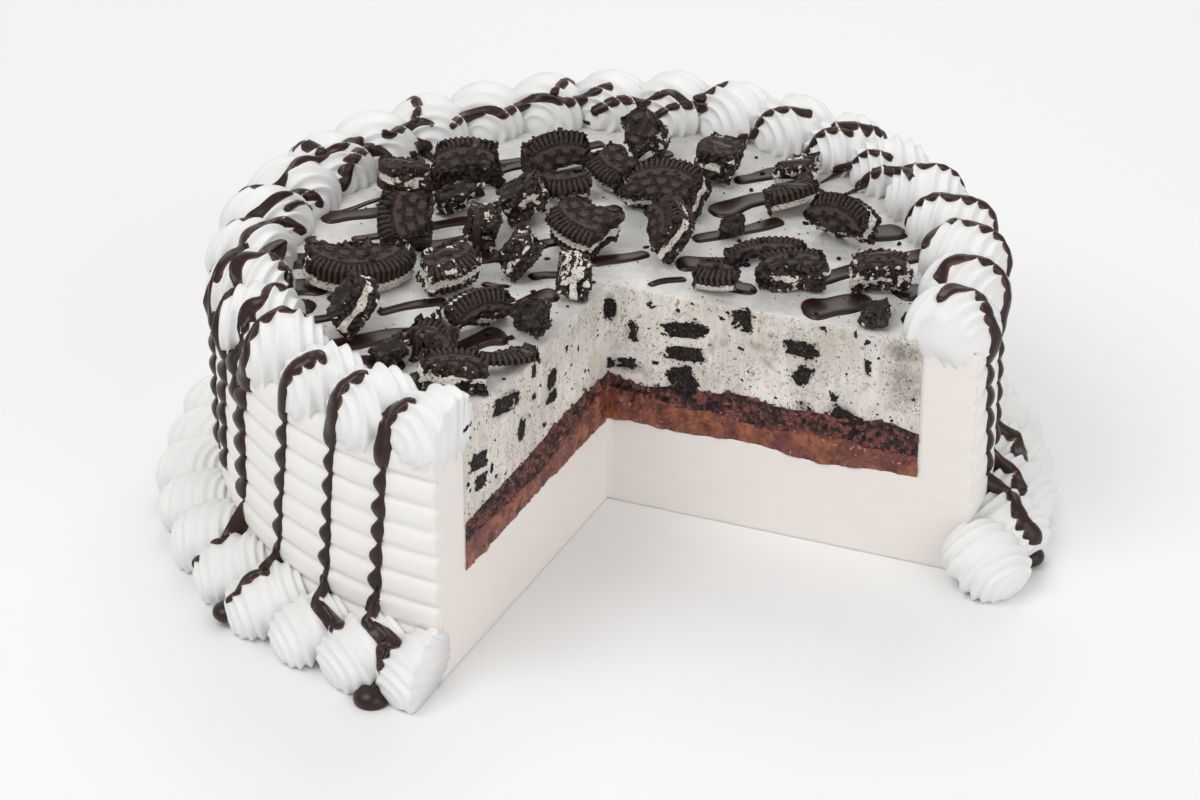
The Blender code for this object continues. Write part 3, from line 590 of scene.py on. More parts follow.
def buildCookie(number, piece, material):
    x, y, rim, width, depth, layers, heading, lean, roll = piece[:9]
    rng = random.Random(number)
    thickness = cookie["thickness"][layers]
    width, depth = width * mm, depth * mm
    outer = cookie["radius"] if rim else depth / 2
    inner = outer - depth
    middle = outer - depth / 2
    bm = bmesh.new()
    bmesh.ops.create_cone(bm, cap_ends=True, segments=cookie["sides"], radius1=cookie["radius"],
                          radius2=cookie["radius"], depth=thickness)
    breaks = [((width / 2, middle, 0), (1, 0, 0)), ((-width / 2, middle, 0), (-1, 0, 0)),
              ((0, inner, 0), (0, -1, 0))]
    if not rim:
        chip = cookie["chip"]
        breaks += [((0, outer, 0), (0, 1, 0)), ((width * chip, depth * chip, 0), (1, 1, 0))]
    sides = [brokenSide(bm, rng, *side) for side in breaks]
    place = Matrix.Rotation(math.radians(heading - 90), 4, 'Z') @ Matrix.Rotation(math.radians(lean), 4, 'X')
    place = place @ Matrix.Rotation(math.radians(-roll), 4, 'Y')
    place = place @ Matrix.Translation((0, -(outer + inner) / 2, 0))
    lowest = min((place @ vertex.co).z for vertex in bm.verts)
    place = Matrix.Translation((x * mm, y * mm, cake["height"] + cookie["lift"] - lowest)) @ place

    fine = remeshed(bm, cookie["voxel"])
    fine.normal_update()
    looks = [fine.verts.layers.float.new(name) for name in ("filling", "broken", "relief")]
    seed = Vector((number * 7.3, number * 3.1, 0))
    moves = []
    for vertex in fine.verts:
        move, *values = wornAt(vertex.co, vertex.normal, thickness / 2, piece, sides, seed)
        moves.append(move)
        for layer, value in zip(looks, values):
            vertex[layer] = value
    for vertex, move in zip(fine.verts, moves):
        vertex.co += move
    bmesh.ops.transform(fine, matrix=place, verts=fine.verts)
    return pieceFrom(fine, f"brokenCookie{number:02d}", material, [f"cookie_{number:02d}"])


# Chocolate drizzle: ribbons that lie on what is under them, deep in the valleys and thin over the ribs

drizzle = {
    "rise": 1.5 * mm,       # how thick a ribbon of 4 mm is in its middle
    "step": 0.75 * mm,
    "lanes": 9,
    "rounding": 6,          # how often the corners of a strand are rounded
    "lowestTurn": 188,      # further round a swirl than this is under the top of the cake
    "footWidth": 5.4,       # the widest that a strand gets on the foot by itself (mm)
    "under": 8 * mm,        # how far under the surface of the wall its stops are
    "cover": 12 * mm,       # about how far under the surface the other stops are
    "reach": 20 * mm,       # from how far out the surface is looked for, and how far in
    "lookIn": 30 * mm,
    "swell": 0.34,          # how much the width comes and goes along a ribbon
    "fills": 1.2 * mm,      # how deep a valley it fills, and how much more where it may hang free
    "bridges": 3.5 * mm,
    "film": 0.28 * mm,      # what stays on a sharp rib
    "sunk": 0.12 * mm,
    "root": 0.5 * mm,       # how far it goes on under the surface
    # heights between which a strand is on the wall, and those between which it may hang free, beyond a radius
    "wallFrom": (74 * mm, 70 * mm), "wallTo": 14 * mm,
    "rimGap": ((84 * mm, 80 * mm), (60 * mm, 70 * mm)), "footGap": (26 * mm, 20 * mm), "gapsFrom": 114.8 * mm,
    "neck": 0.22, "belly": 0.85,    # its width in a groove of the wall, and what the drop on a ridge adds
    "neckHeight": 0.35,
    "zigzag": 0.35 * mm,    # how far it goes from side to side at each ridge
    "sway": 0.7,            # how far a line on the top wanders (mm)
    "clear": 0.4 * mm,      # of the cut
    "furthest": 104 * mm,   # from the middle, on the top
    "shortest": 5,          # places; a shorter stretch of a line is left out
    "heading": math.radians(24),
    # azimuth, distance out, radius and height of the middle
    "pools": [(240.2, 142.3, 5.6, 1.5), (214.6, 142.6, 4.4, 4.2), (340.5, 141.5, 4.4, 3.0)],
    "poolHeight": 0.7,      # as a share of its radius
}
# how much wider than given and how high each kind is, how square its section is (2 is round), over how many
# steps either way the chocolate evens out, and how far what is under it shows through at its thinnest
ribbons = {
    "flat": {"spread": 1.3, "height": 0.6, "square": 4, "settle": 0, "thinnest": 0.3},
    "strand": {"spread": 1, "height": 1, "square": 2, "settle": 4, "thinnest": 1},
    "draped": {"spread": 1, "height": 0.6, "square": 2, "settle": 1, "thinnest": 0.45},
}
# lines on the flat top, along the heading: for the start and the end, the offset from the centre, the place
# along the line and the width (mm)
topLines = [
    (84, -8, 3.4, 83, 36, 4.4), (79.5, -10, 3.8, 79, 8, 4.0), (68, -10, 3.6, 68, 54, 4.0),
    (70.2, -70, 6.5, 68, -47, 4.5), (73, -64, 2.2, 75.6, -46, 2.0), (53.7, -66, 3.4, 50, -26, 4.4),
    (49, -92, 7.5, 43, -81, 8.0), (57.6, -80, 7.0, 57, -76, 7.0), (39.8, -50, 5.0, 38.8, -29, 3.8),
    (42.3, 47, 5.2, 42.8, 56, 5.2), (41.2, 64, 5.2, 39.6, 82, 5.4), (38.8, -4, 6.0, 38.9, 22, 4.4),
    (31, -98, 8.0, 27.4, -84, 8.5), (26.2, -44, 6.0, 26.7, -26, 8.5), (24.3, -18, 5.4, 25.6, -4, 3.8),
    (23.4, 47, 8.5, 25.7, 70, 6.5), (18, -99, 7.0, 15.5, -93, 8.0), (9.1, -99, 3.6, 8.4, -80, 3.8),
    (5.2, -76, 3.4, 3.4, -53.6, 4.8), (8.9, -39, 3.2, 3.2, -32, 1.6), (6.4, -24, 3.8, 4.6, -12, 4.0),
    (7.3, -3, 6.0, 6.6, 17, 4.0), (8.3, 34, 4.6, 8.7, 66, 5.0), (10.6, 74, 7.5, 5.8, 92, 2.4),
    (-8.5, -98, 8.0, -11.6, -71, 4.8), (-8.3, -36, 4.4, -7, -20, 8.5), (-4.5, 22, 9.0, -11, 42, 5.4),
    (-11, 86, 8.5, -12.3, 99, 8.5), (-13, 8.3, 2.2, -13.4, 20.6, 2.8), (-24.4, -95, 8.5, -26.6, -80, 8.0),
    (-27, -66, 4.4, -23.8, -45, 10.5), (-24.2, 30, 6.0, -29, 38, 6.0), (-32, 55, 5.4, -29.5, 99, 6.0),
    (-40.6, -87, 8.0, -38.3, -74, 7.0), (-36, -56, 4.4, -37.3, -44, 5.6), (-47.3, 45, 11.5, -50.2, 68, 7.0),
    (-50.8, 76, 8.0, -52, 88, 8.0), (-66.5, 70, 8.0, -65, 79, 8.0),
]
# A strand has its width on the rim and its width below (mm), then its stops. Round the swirls of the rim
# and the foot they are (azimuth, turn), where 180 is a swirl's inner end, 90 its crest and 0 its outer end.
# On the wall they are (azimuth, height in mm). A third number is a width of its own (mm).
strands = [
    # down the front left
    (6.2, 4.9, {"rim": [(240.5, 74), (238.5, 45), (238, 12)], "wall": [(237.8, 73), (235.8, 22)],
        "foot": [(237, 88, 5), (239.5, 86, 6), (241, 80, 7), (240.5, 60, 5.6), (240.7, 38, 3.6),
        (241, 8, 3.2)]}),
    (6.0, 4.8, {"rim": [(231.5, 84), (229.5, 48), (229.3, 15)], "wall": [(228.8, 74), (226.4, 22)],
        "foot": [(228, 88, 5), (231, 84, 6), (232.8, 76, 6), (233.2, 66, 6), (232.3, 54, 6)]}),
    (5.6, 4.8, {"rim": [(222.5, 84), (220.5, 45), (219.5, 12)], "wall": [(219, 76), (215.6, 21)],
        "foot": [(217, 88, 4.4), (218.2, 82, 4), (216.8, 72, 4.4), (216.5, 54, 4), (217.2, 30, 2.2),
        (216, 8, 2.8)]}),
    (4.4, 8.6, {"rim": [(206, 150), (205, 129), (207, 99), (208, 70), (209, 40), (210, 12)],
        "wall": [(208, 75), (205.5, 60), (205, 34), (203.7, 25, 4.4)], "foot": [(205, 88, 4.2),
        (206.5, 82, 4), (206.2, 74, 4), (206, 62, 4), (206, 52, 3)]}),
    (2.6, 2.6, {"foot": [(206.8, 24), (205.4, 12), (206.4, 2)]}),
    (4.0, 8.0, {"rim": [(199, 133), (198, 119), (199, 102), (202, 90), (202, 60), (204, 30), (205.5, 8)],
        "wall": [(203, 72), (205.5, 56)]}),
    (3.6, 8.6, {"rim": [(190, 152), (187, 141), (186, 126), (187, 104), (188, 81), (190, 65), (194, 50),
        (197, 35), (199, 8)], "wall": [(199, 70), (196.3, 52), (195.8, 34), (195, 26, 6)]}),
    (3.4, 8.0, {"rim": [(168, 180), (170, 157), (171, 137), (173, 123), (177, 104), (179, 85), (182, 76),
        (186, 60), (190, 30), (190.5, 5)], "wall": [(190.5, 70), (188, 50), (187.5, 24)]}),
    (3.4, 5.0, {"rim": [(196, 55), (197, 25), (196, 0)]}),
    (3.4, 7.0, {"rim": [(186, 72), (184, 50), (182.5, 20)], "wall": [(181, 72), (180, 46)]}),
    # round the left
    (3.3, 4.8, {"rim": [(193, 175), (190, 165), (182, 160), (178, 150), (182, 133), (185, 117)]}),
    (3.3, 4.8, {"rim": [(158, 178), (158, 166), (159, 151), (160, 136), (163, 125), (166, 117), (171, 100),
        (173, 70), (174, 40), (173, 8)], "wall": [(172, 70), (171, 40)]}),
    (3.1, 4.6, {"rim": [(160, 174), (163, 152), (165, 141), (169, 134)]}),
    (3.1, 4.6, {"rim": [(139, 118), (144, 120), (148, 112), (151, 96), (155, 92), (160, 96), (163, 80),
        (164, 50), (163, 10)], "wall": [(162, 68), (161.5, 44)]}),
    (4.1, 6.0, {"rim": [(149, 186), (147, 165), (146, 150), (142, 142), (138, 144), (137, 157),
        (135.5, 178)]}),
    (3.1, 4.6, {"rim": [(145, 120), (142, 114), (138, 116)]}),
    # round the back
    (3.1, 4.6, {"rim": [(135, 128), (134, 140), (131, 135), (129, 131), (126, 130), (125, 138),
        (124, 147)]}),
    (4.5, 6.7, {"rim": [(131, 192), (129, 178), (127, 177), (125.5, 190)]}),
    (3.3, 4.8, {"rim": [(121, 157), (118, 146), (115, 141), (112, 143), (110, 156), (108, 148), (105, 137),
        (103, 130), (100, 136), (98, 147), (95, 138), (92, 124), (89, 118)]}),
    (3.3, 4.8, {"rim": [(93, 165), (89, 146), (86, 141), (83, 146), (80, 129), (78, 127), (74, 147)]}),
    (3.3, 4.8, {"rim": [(82, 188), (81, 168), (78, 151), (75, 143), (71, 140)]}),
    (3.0, 4.4, {"rim": [(65, 206), (61, 178), (61, 160), (60, 137), (57, 120), (52, 100)]}),
    (2.7, 4.0, {"rim": [(50, 184), (48, 160), (48, 148), (46, 130), (42, 110)]}),
    (2.7, 4.0, {"rim": [(42, 198), (39, 171), (37, 147), (35, 132), (31, 115)]}),
    (3.1, 4.6, {"rim": [(35, 205), (33, 179), (31, 151), (29.5, 136), (28, 121), (25, 116), (22, 126)]}),
    (2.5, 3.7, {"rim": [(94, 182), (93.7, 191)]}),
    # down the right
    (3.9, 5.8, {"rim": [(16, 186), (16, 162), (15, 135), (14, 108), (12, 80), (12, 40), (11, 5)],
        "wall": [(10, 70), (9, 40)]}),
    (4.3, 6.3, {"rim": [(1, 165), (5, 142), (7, 118), (7, 100), (5, 88), (3, 60), (2, 20)],
        "wall": [(1, 74), (2, 24)], "foot": [(359, 88), (355, 72)]}),
    (3.7, 5.5, {"rim": [(346, 136), (350, 119), (351, 97), (351, 60), (350, 15)], "wall": [(348, 73),
        (350, 50), (352, 24)], "foot": [(350, 88), (347, 66)]}),
    (4.3, 6.3, {"rim": [(337, 106), (341, 97), (342.5, 76), (342, 52), (338.5, 25)], "wall": [(339.5, 75),
        (341, 60), (342.4, 44), (344, 24)], "foot": [(345, 88), (342, 72), (340, 45), (340, 0)]}),
    # down the back
    (3.3, 4.8, {"rim": [(127, 128), (124, 90), (123, 45), (122, 10)], "wall": [(121, 72), (120, 38)]}),
    (3.5, 5.2, {"rim": [(100, 130), (97, 90), (95, 40), (95, 8)], "wall": [(95, 72), (94, 26)],
        "foot": [(93, 88), (92, 60)]}),
    (3.3, 4.8, {"rim": [(74, 130), (71, 90), (70, 40), (70, 8)], "wall": [(69, 72), (68, 44)]}),
    (3.5, 5.2, {"rim": [(46, 120), (42, 85), (41, 40), (41, 8)], "wall": [(40, 72), (39, 30)]}),
    (3.3, 4.8, {"rim": [(28, 118), (25, 80), (24, 30)], "wall": [(23, 72), (22, 52)]}),
    (3.5, 5.2, {"rim": [(148, 110), (147, 70), (146, 20)], "wall": [(145, 72), (144, 34)]}),
]
# bits over the cookies: the width, then the stops (x, y), all in mm
overCookies = [
    (3.6, [(-72, 51), (-68, 53), (-63, 50)]), (2.4, [(-43, 67), (-43, 62), (-45, 56)]),
    (2.6, [(14, 80), (13, 75), (10, 70)]), (2.4, [(-20, 43), (-24, 40), (-27, 34)]),
    (3.2, [(-42, 11), (-40, 16), (-38, 22)]), (3.2, [(-32, -4), (-28, -2), (-24, 0)]),
    (2.6, [(-54, -12), (-51, -9), (-46, -9)]),
    (3.2, [(-62, -47), (-58, -43), (-53, -44), (-49, -50), (-46, -58)]),
    (3.2, [(-60, -57), (-56, -53), (-51, -54)]), (2.6, [(21, 17), (23, 12), (25, 8)]),
    (3.0, [(56, 59), (62, 61), (67, 60)]), (3.2, [(54, 45), (59, 42), (65, 40)]),
    (2.8, [(80, -11), (84, -10), (90, -10)]), (2.8, [(33, 69), (37, 66), (41, 64)]),
    (2.2, [(-27, -58), (-24, -60), (-21, -61)]),
]


def clearOfCut(place, room):
    offset = place - cake["corner"]
    return not all(offset.dot(face["normal"]) > -room for face in cutFaces.values())


def treeOf(pieces):
    bm = bmesh.new()
    for piece in pieces:
        bm.from_mesh(piece.data)
    tree = BVHTree.FromBMesh(bm)
    bm.free()
    return tree


def stopAt(kind, first, second):
    # a place under the surface, and the way out from it
    if kind == "top":
        return Vector((first * mm, second * mm, cake["height"])), up.copy()
    azimuth = math.radians(first)
    if kind == "wall":
        return atAzimuth(azimuth, cake["wallRadius"] - drizzle["under"], second * mm), headingOf(azimuth)
    row = topRow if kind == "rim" else footRow
    turn = math.radians(min(second, drizzle["lowestTurn"]))
    core = atAzimuth(azimuth, (row["inner"] + row["outer"]) / 2, (row["innerZ"] + row["outerZ"]) / 2)
    return core, headingOf(azimuth) * math.cos(turn) + up * math.sin(turn)


def nearSurface(core, out):
    return core + out * drizzle["cover"]


def evenly(stops, width, wallWidth):
    # the stops joined by small even steps, with the corners rounded
    widths = {"rim": width, "top": width, "wall": wallWidth, "foot": min(wallWidth, drizzle["footWidth"])}
    known = []
    for kind, places in stops.items():
        for first, second, *own in places:
            known.append((*stopAt(kind, first, second), (own[0] if own else widths[kind]) * mm))
    path = []
    for (core, out, wide), (nextCore, nextOut, nextWide) in zip(known, known[1:]):
        span = (nearSurface(nextCore, nextOut) - nearSurface(core, out)).length
        count = max(2, round(span / drizzle["step"]))
        for step in range(count):
            share = step / count
            width = wide + (nextWide - wide) * share
            path.append((core.lerp(nextCore, share), out.slerp(nextOut, share), width))
    path.append(known[-1])
    for _ in range(drizzle["rounding"]):
        inner = [((a[0] + 2 * b[0] + c[0]) / 4, (a[1] + 2 * b[1] + c[1]).normalized(), b[2])
                 for a, b, c in zip(path, path[1:], path[2:])]
        path = [path[0]] + inner + [path[-1]]
    return path


def beadShare(place):
    # on the wall: how wide the drizzle is on a ridge, from its neck in a groove to the belly of the drop
    down = 1 - (place.z / ridgePitch) % 1
    return math.sin(math.pi * down ** 1.3) ** 0.8


def wallShare(core, out):
    # 1 where a strand runs down the outside of the wall
    outside = core.xy.length > cake["wallRadius"] - drizzle["under"] - mm and core.z > drizzle["wallTo"]
    return outside * smoothStep(0.35, 0.1, abs(out.z)) * smoothStep(*drizzle["wallFrom"], core.z)


def bridgeShare(core):
    # 1 where a strand may hang free, from the rim to the wall and from the wall to the foot
    upper, lower = [smoothStep(*edge, core.z) for edge in drizzle["rimGap"]]
    share = max(upper * lower, smoothStep(*drizzle["footGap"], core.z))
    return share * (core.xy.length > drizzle["gapsFrom"])


def ribbonPlaces(path, tree, seed, kind):
    # for each step and lane: a place under the surface, how far out the surface is, how full the ribbon is
    last, lanes = len(path) - 1, drizzle["lanes"]
    places = {}
    for index, (core, out, width) in enumerate(path):
        before, after = path[max(0, index - 1)], path[min(last, index + 1)]
        side = out.cross(nearSurface(*after[:2]) - nearSurface(*before[:2])).normalized()
        fromEnd = min(index, last - index) * drizzle["step"]
        roundEnd = math.sqrt(1 - (1 - min(1, (fromEnd + 0.3 * mm) / (width * 0.5))) ** 2)
        wander = noise.noise(Vector((index * drizzle["step"] * 110, seed * 1.7, 0.3)))
        onWall, bead = wallShare(core, out), beadShare(core)
        wide = width * kind["spread"] * roundEnd * (1 + drizzle["swell"] * wander)
        wide *= 1 - onWall + onWall * (drizzle["neck"] + drizzle["belly"] * bead)
        shift = onWall * drizzle["zigzag"] * math.cos(2 * math.pi * core.z / ridgePitch + 0.8)
        for lane in range(lanes):
            across = 2 * lane / (lanes - 1) - 1
            place = surface = core + side * (across * wide / 2 + shift)
            if tree:
                start = place + out * drizzle["reach"]
                surface = tree.ray_cast(start, -out, drizzle["lookIn"])[0] or place + out * drizzle["under"]
            full = math.sqrt(1 - abs(across) ** kind["square"]) * roundEnd
            full *= 1 - onWall + onWall * (drizzle["neckHeight"] + (1 - drizzle["neckHeight"]) * bead)
            places[index, lane] = place, (surface - place).dot(out), full
    return places


def addRibbon(bm, path, tree, seed, kind):
    # a grid of steps and lanes, laid on what is under it and made thick; without a tree it lies flat
    count, lanes, settle = len(path), drizzle["lanes"], kind["settle"]
    places = ribbonPlaces(path, tree, seed, kind)
    ribbon = bmesh.new()
    bmesh.ops.create_grid(ribbon, x_segments=count - 1, y_segments=lanes - 1, size=0.5)
    outLayer = ribbon.verts.layers.float_vector.new("out")
    depthLayer = ribbon.verts.layers.float.new("depth")
    thinLayer = ribbon.verts.layers.float.new("thin")
    for vertex in ribbon.verts:
        index = round((vertex.co.x + 0.5) * (count - 1))
        lane = round((vertex.co.y + 0.5) * (lanes - 1))
        core, out, width = path[index]
        place, raw, full = places[index, lane]
        steps = range(max(0, index - settle), min(count, index + settle + 1))
        near = [places[step, lane][1] for step in steps]
        even = min(sum(near) / len(near), raw + drizzle["fills"] + drizzle["bridges"] * bridgeShare(core))
        rise = drizzle["rise"] * kind["height"] * math.sqrt(width / (4 * mm))
        top = max(even + rise * full, raw + drizzle["film"] * smoothStep(0.55, 0.8, full)) - drizzle["sunk"]
        bare = 1 - smoothStep(0.05 * mm, 0.55 * mm, top - raw) if tree else 1 - full
        vertex[outLayer] = out
        vertex[depthLayer] = max(0.1 * mm, top - raw + drizzle["root"])
        vertex[thinLayer] = kind["thinnest"] * bare * (1 - 0.8 * smoothStep(0.35, 0.1, abs(out.z)))
        vertex.co = place + out * top
    grown = bmesh.ops.extrude_face_region(ribbon, geom=ribbon.faces[:], use_keep_orig=True)["geom"]
    for vertex in [item for item in grown if isinstance(item, bmesh.types.BMVert)]:
        vertex.co -= vertex[outLayer] * vertex[depthLayer]
    bmesh.ops.recalc_face_normals(ribbon, faces=ribbon.faces)
    addTo(bm, ribbon)


def topStretches(offset, start, width, endOffset, end, endWidth):
    # one line across the top, without what would hang over the cut
    along = headingOf(drizzle["heading"])
    across = up.cross(along)
    steps = round((end - start) * mm / drizzle["step"])
    stretch = []
    for step in range(steps + 1):
        share = step / steps
        sway = drizzle["sway"] * math.sin(5 * share + offset)
        aside = offset + (endOffset - offset) * share + sway
        wide = (width + (endWidth - width) * share) * mm
        place = (along * (start + (end - start) * share) + across * aside) * mm
        if clearOfCut(place, wide * 0.5 + drizzle["clear"]) and place.length < drizzle["furthest"]:
            stretch.append((place + up * cake["height"], up.copy(), wide))
        else:
            yield stretch
            stretch = []
    yield stretch


def buildDrizzle(material, tree):
    bm = bmesh.new()
    for number, line in enumerate(topLines):
        for stretch in topStretches(*line):
            if len(stretch) >= drizzle["shortest"]:
                addRibbon(bm, stretch, None, number, ribbons["flat"])
    for number, (width, wallWidth, stops) in enumerate(strands):
        addRibbon(bm, evenly(stops, width, wallWidth), tree, 40 + number, ribbons["strand"])
    for azimuth, radius, size, height in drizzle["pools"]:
        pool = bmesh.new()
        bmesh.ops.create_uvsphere(pool, u_segments=40, v_segments=24, radius=size * mm)
        place = Matrix.Translation(atAzimuth(math.radians(azimuth), radius * mm, height * mm))
        flat = Matrix.Diagonal((1, 1, drizzle["poolHeight"], 1))
        bmesh.ops.transform(pool, matrix=place @ flat, verts=pool.verts)
        trimmed(pool, up * piping["floor"], -up)
        addTo(bm, pool)
    nodes = ["cookies_and_cream", "top_border", "vanilla", "foot_border"]
    return pieceFrom(bm, "chocolateDrizzle", material, nodes)


def buildDrizzleOverCookies(material, tree):
    bm = bmesh.new()
    for number, (width, stops) in enumerate(overCookies):
        addRibbon(bm, evenly({"top": stops}, width, width), tree, 90 + number, ribbons["draped"])
    return pieceFrom(bm, "drizzleOverCookies", material, [])


# Loose crumbs round the cookies

looseCrumbs = {
    "count": 600,
    "smallest": 0.22 * mm,
    "largest": 1.3 * mm,
    "spread": 13 * mm,      # how far they lie from a cookie
    "furthest": 97 * mm,    # from the middle of the cake
    "clear": 2 * mm,        # of the cut
    "from": 24 * mm,        # from how high above the top they fall, and how far at most
    "fall": 30 * mm,
    "above": 0.35,          # how far a crumb's middle is above what it lies on, as a share of its size
    "seed": 21,
}


def buildCrumbs(material, tree):
    rng = random.Random(looseCrumbs["seed"])
    small, large = looseCrumbs["smallest"], looseCrumbs["largest"]
    bm = bmesh.new()
    for _ in range(looseCrumbs["count"]):
        x, y = rng.choice(cookiePieces)[:2]
        angle, away = rng.uniform(0, 2 * math.pi), rng.gauss(0, 1) * looseCrumbs["spread"]
        place = Vector((x * mm + away * math.cos(angle), y * mm + away * math.sin(angle), cake["height"]))
        size = small + (large - small) * rng.random() ** 4
        if place.xy.length > looseCrumbs["furthest"] or not clearOfCut(place, looseCrumbs["clear"]):
            continue
        ground = tree.ray_cast(place + up * looseCrumbs["from"], -up, looseCrumbs["fall"])[0] or place
        crumb = bmesh.new()
        bmesh.ops.create_icosphere(crumb, subdivisions=1, radius=size)
        for vertex in crumb.verts:
            vertex.co *= rng.uniform(0.65, 1.25)
        turn = Matrix.Rotation(rng.uniform(0, 6), 4, 'Z') @ Matrix.Rotation(rng.uniform(0, 3), 4, 'X')
        shape = Matrix.Diagonal((rng.uniform(0.8, 1.5), 1, rng.uniform(0.6, 0.9), 1))
        lay = Matrix.Translation(ground + up * looseCrumbs["above"] * size) @ shape @ turn
        bmesh.ops.transform(crumb, matrix=lay, verts=crumb.verts)
        addTo(bm, crumb)
    return pieceFrom(bm, "looseCrumbs", material, [], smooth=False)


# Materials

class Wire:
    # one socket of a material; the operators add Math nodes
    def __init__(self, tree, socket):
        self.tree = tree
        self.socket = socket

    def node(self, kind, settings, inputs, output=0):
        made = self.tree.nodes.new("ShaderNode" + kind)
        for key, value in settings.items():
            setattr(made, key, value)
        for key, value in inputs.items():
            if isinstance(value, Wire):
                self.tree.links.new(value.socket, made.inputs[key])
            else:
                made.inputs[key].default_value = value
        return Wire(self.tree, made.outputs[output])

    def math(self, operation, *values):
        return self.node("Math", {"operation": operation}, dict(enumerate(values)))

    def __add__(self, other):
        return self.math("ADD", self, other)

    __radd__ = __add__

    def __mul__(self, other):
        return self.math("MULTIPLY", self, other)

    __rmul__ = __mul__

    def __sub__(self, other):
        return self.math("SUBTRACT", self, other)

    def __rsub__(self, other):
        return self.math("SUBTRACT", other, self)

    def above(self, low, high):
        # 0 below low, 1 above high
        return self.node("MapRange", {"interpolation_type": "SMOOTHSTEP"},
                         {"Value": self, "From Min": low, "From Max": high})

    def attribute(self, name):
        return self.node("Attribute", {"attribute_name": name}, {}, "Fac")

    def dots(self, scale, low, high, share):
        # 1 in the middles of scattered cells, of which only a share is used
        distance = self.node("TexVoronoi", {}, {"Vector": self, "Scale": scale}, "Distance")
        cell = Wire(self.tree, distance.socket.node.outputs["Color"])
        pick = cell.node("SeparateColor", {}, {"Color": cell})
        return (1 - distance.above(low, high)) * (1 - pick.above(share - 0.01, share))

    def noise(self, scale, detail=2, roughness=0.5):
        return self.node("TexNoise", {}, {
            "Vector": self, "Scale": scale, "Detail": detail, "Roughness": roughness})

    def wobbled(self, scale, distance):
        # the same place, moved about by a noise
        swing = self.node("TexNoise", {}, {"Vector": self, "Scale": scale}, "Color")
        centred = swing.node("VectorMath", {"operation": "SUBTRACT"}, {0: swing, 1: (0.5, 0.5, 0.5)})
        moved = centred.node("VectorMath", {"operation": "SCALE"}, {0: centred, "Scale": 2 * distance})
        return self.node("VectorMath", {"operation": "ADD"}, {0: self, 1: moved})

    def stretched(self, x, y, z):
        return self.node("Mapping", {}, {"Vector": self, "Scale": (x, y, z)})

    def mixed(self, first, second):
        # this wire is the factor between two colours
        return self.node("Mix", {"data_type": "RGBA"}, {0: self, 6: first, 7: second}, 2)

    def bump(self, strength, distance):
        return self.node("Bump", {}, {"Height": self, "Strength": strength, "Distance": distance})


def newMaterial(name, roughness, settings=None):
    material = bpy.data.materials.new(name)
    material.use_nodes = True
    shader = material.node_tree.nodes["Principled BSDF"]
    shader.inputs["Roughness"].default_value = roughness
    for key, value in (settings or {}).items():
        shader.inputs[key].default_value = value
    coordinates = material.node_tree.nodes.new("ShaderNodeTexCoord")
    return material, shader, Wire(material.node_tree, coordinates.outputs["Object"])


def plug(wire, shader, socketName):
    wire.tree.links.new(wire.socket, shader.inputs[socketName])


def colour(red, green, blue):
    # a colour as it would be read off a screen, 0 to 255
    return (*[(value / 255) ** 2.2 for value in (red, green, blue)], 1)


def tinted(base, rows):
    # colours laid over a base, each with a wire that says where
    for wire, *tint in rows:
        base = wire.mixed(base, colour(*tint))
    return base


def vanillaMaterial():
    material, shader, place = newMaterial("vanilla ice cream", 0.5, {
        "Subsurface Weight": 0.12, "Subsurface Radius": (0.012, 0.009, 0.007), "Subsurface Scale": 0.4})
    cut = place.attribute("cut")
    cloud = place.noise(25, 3)
    outside = cloud.mixed(colour(240, 237, 230), colour(247, 245, 240))
    inside = cloud.mixed(colour(235, 228, 221), colour(242, 236, 231))
    plug(cut.mixed(outside, inside), shader, "Base Color")
    plug(0.42 + 0.25 * place.noise(300, 3), shader, "Roughness")
    drag = place.stretched(1, 1, 6).noise(180, 4, 0.6)
    plug((drag + 0.3 * place.noise(1400, 2)).bump(0.25, 0.0004), shader, "Normal")
    return material


def pipingMaterial():
    material, shader, place = newMaterial("whipped topping", 0.5, {
        "Subsurface Weight": 0.15, "Subsurface Radius": (0.008, 0.007, 0.006), "Subsurface Scale": 0.3})
    plug(place.noise(60, 2).mixed(colour(232, 232, 231), colour(241, 241, 239)), shader, "Base Color")
    plug(place.noise(500, 3).bump(0.15, 0.0003), shader, "Normal")
    return material


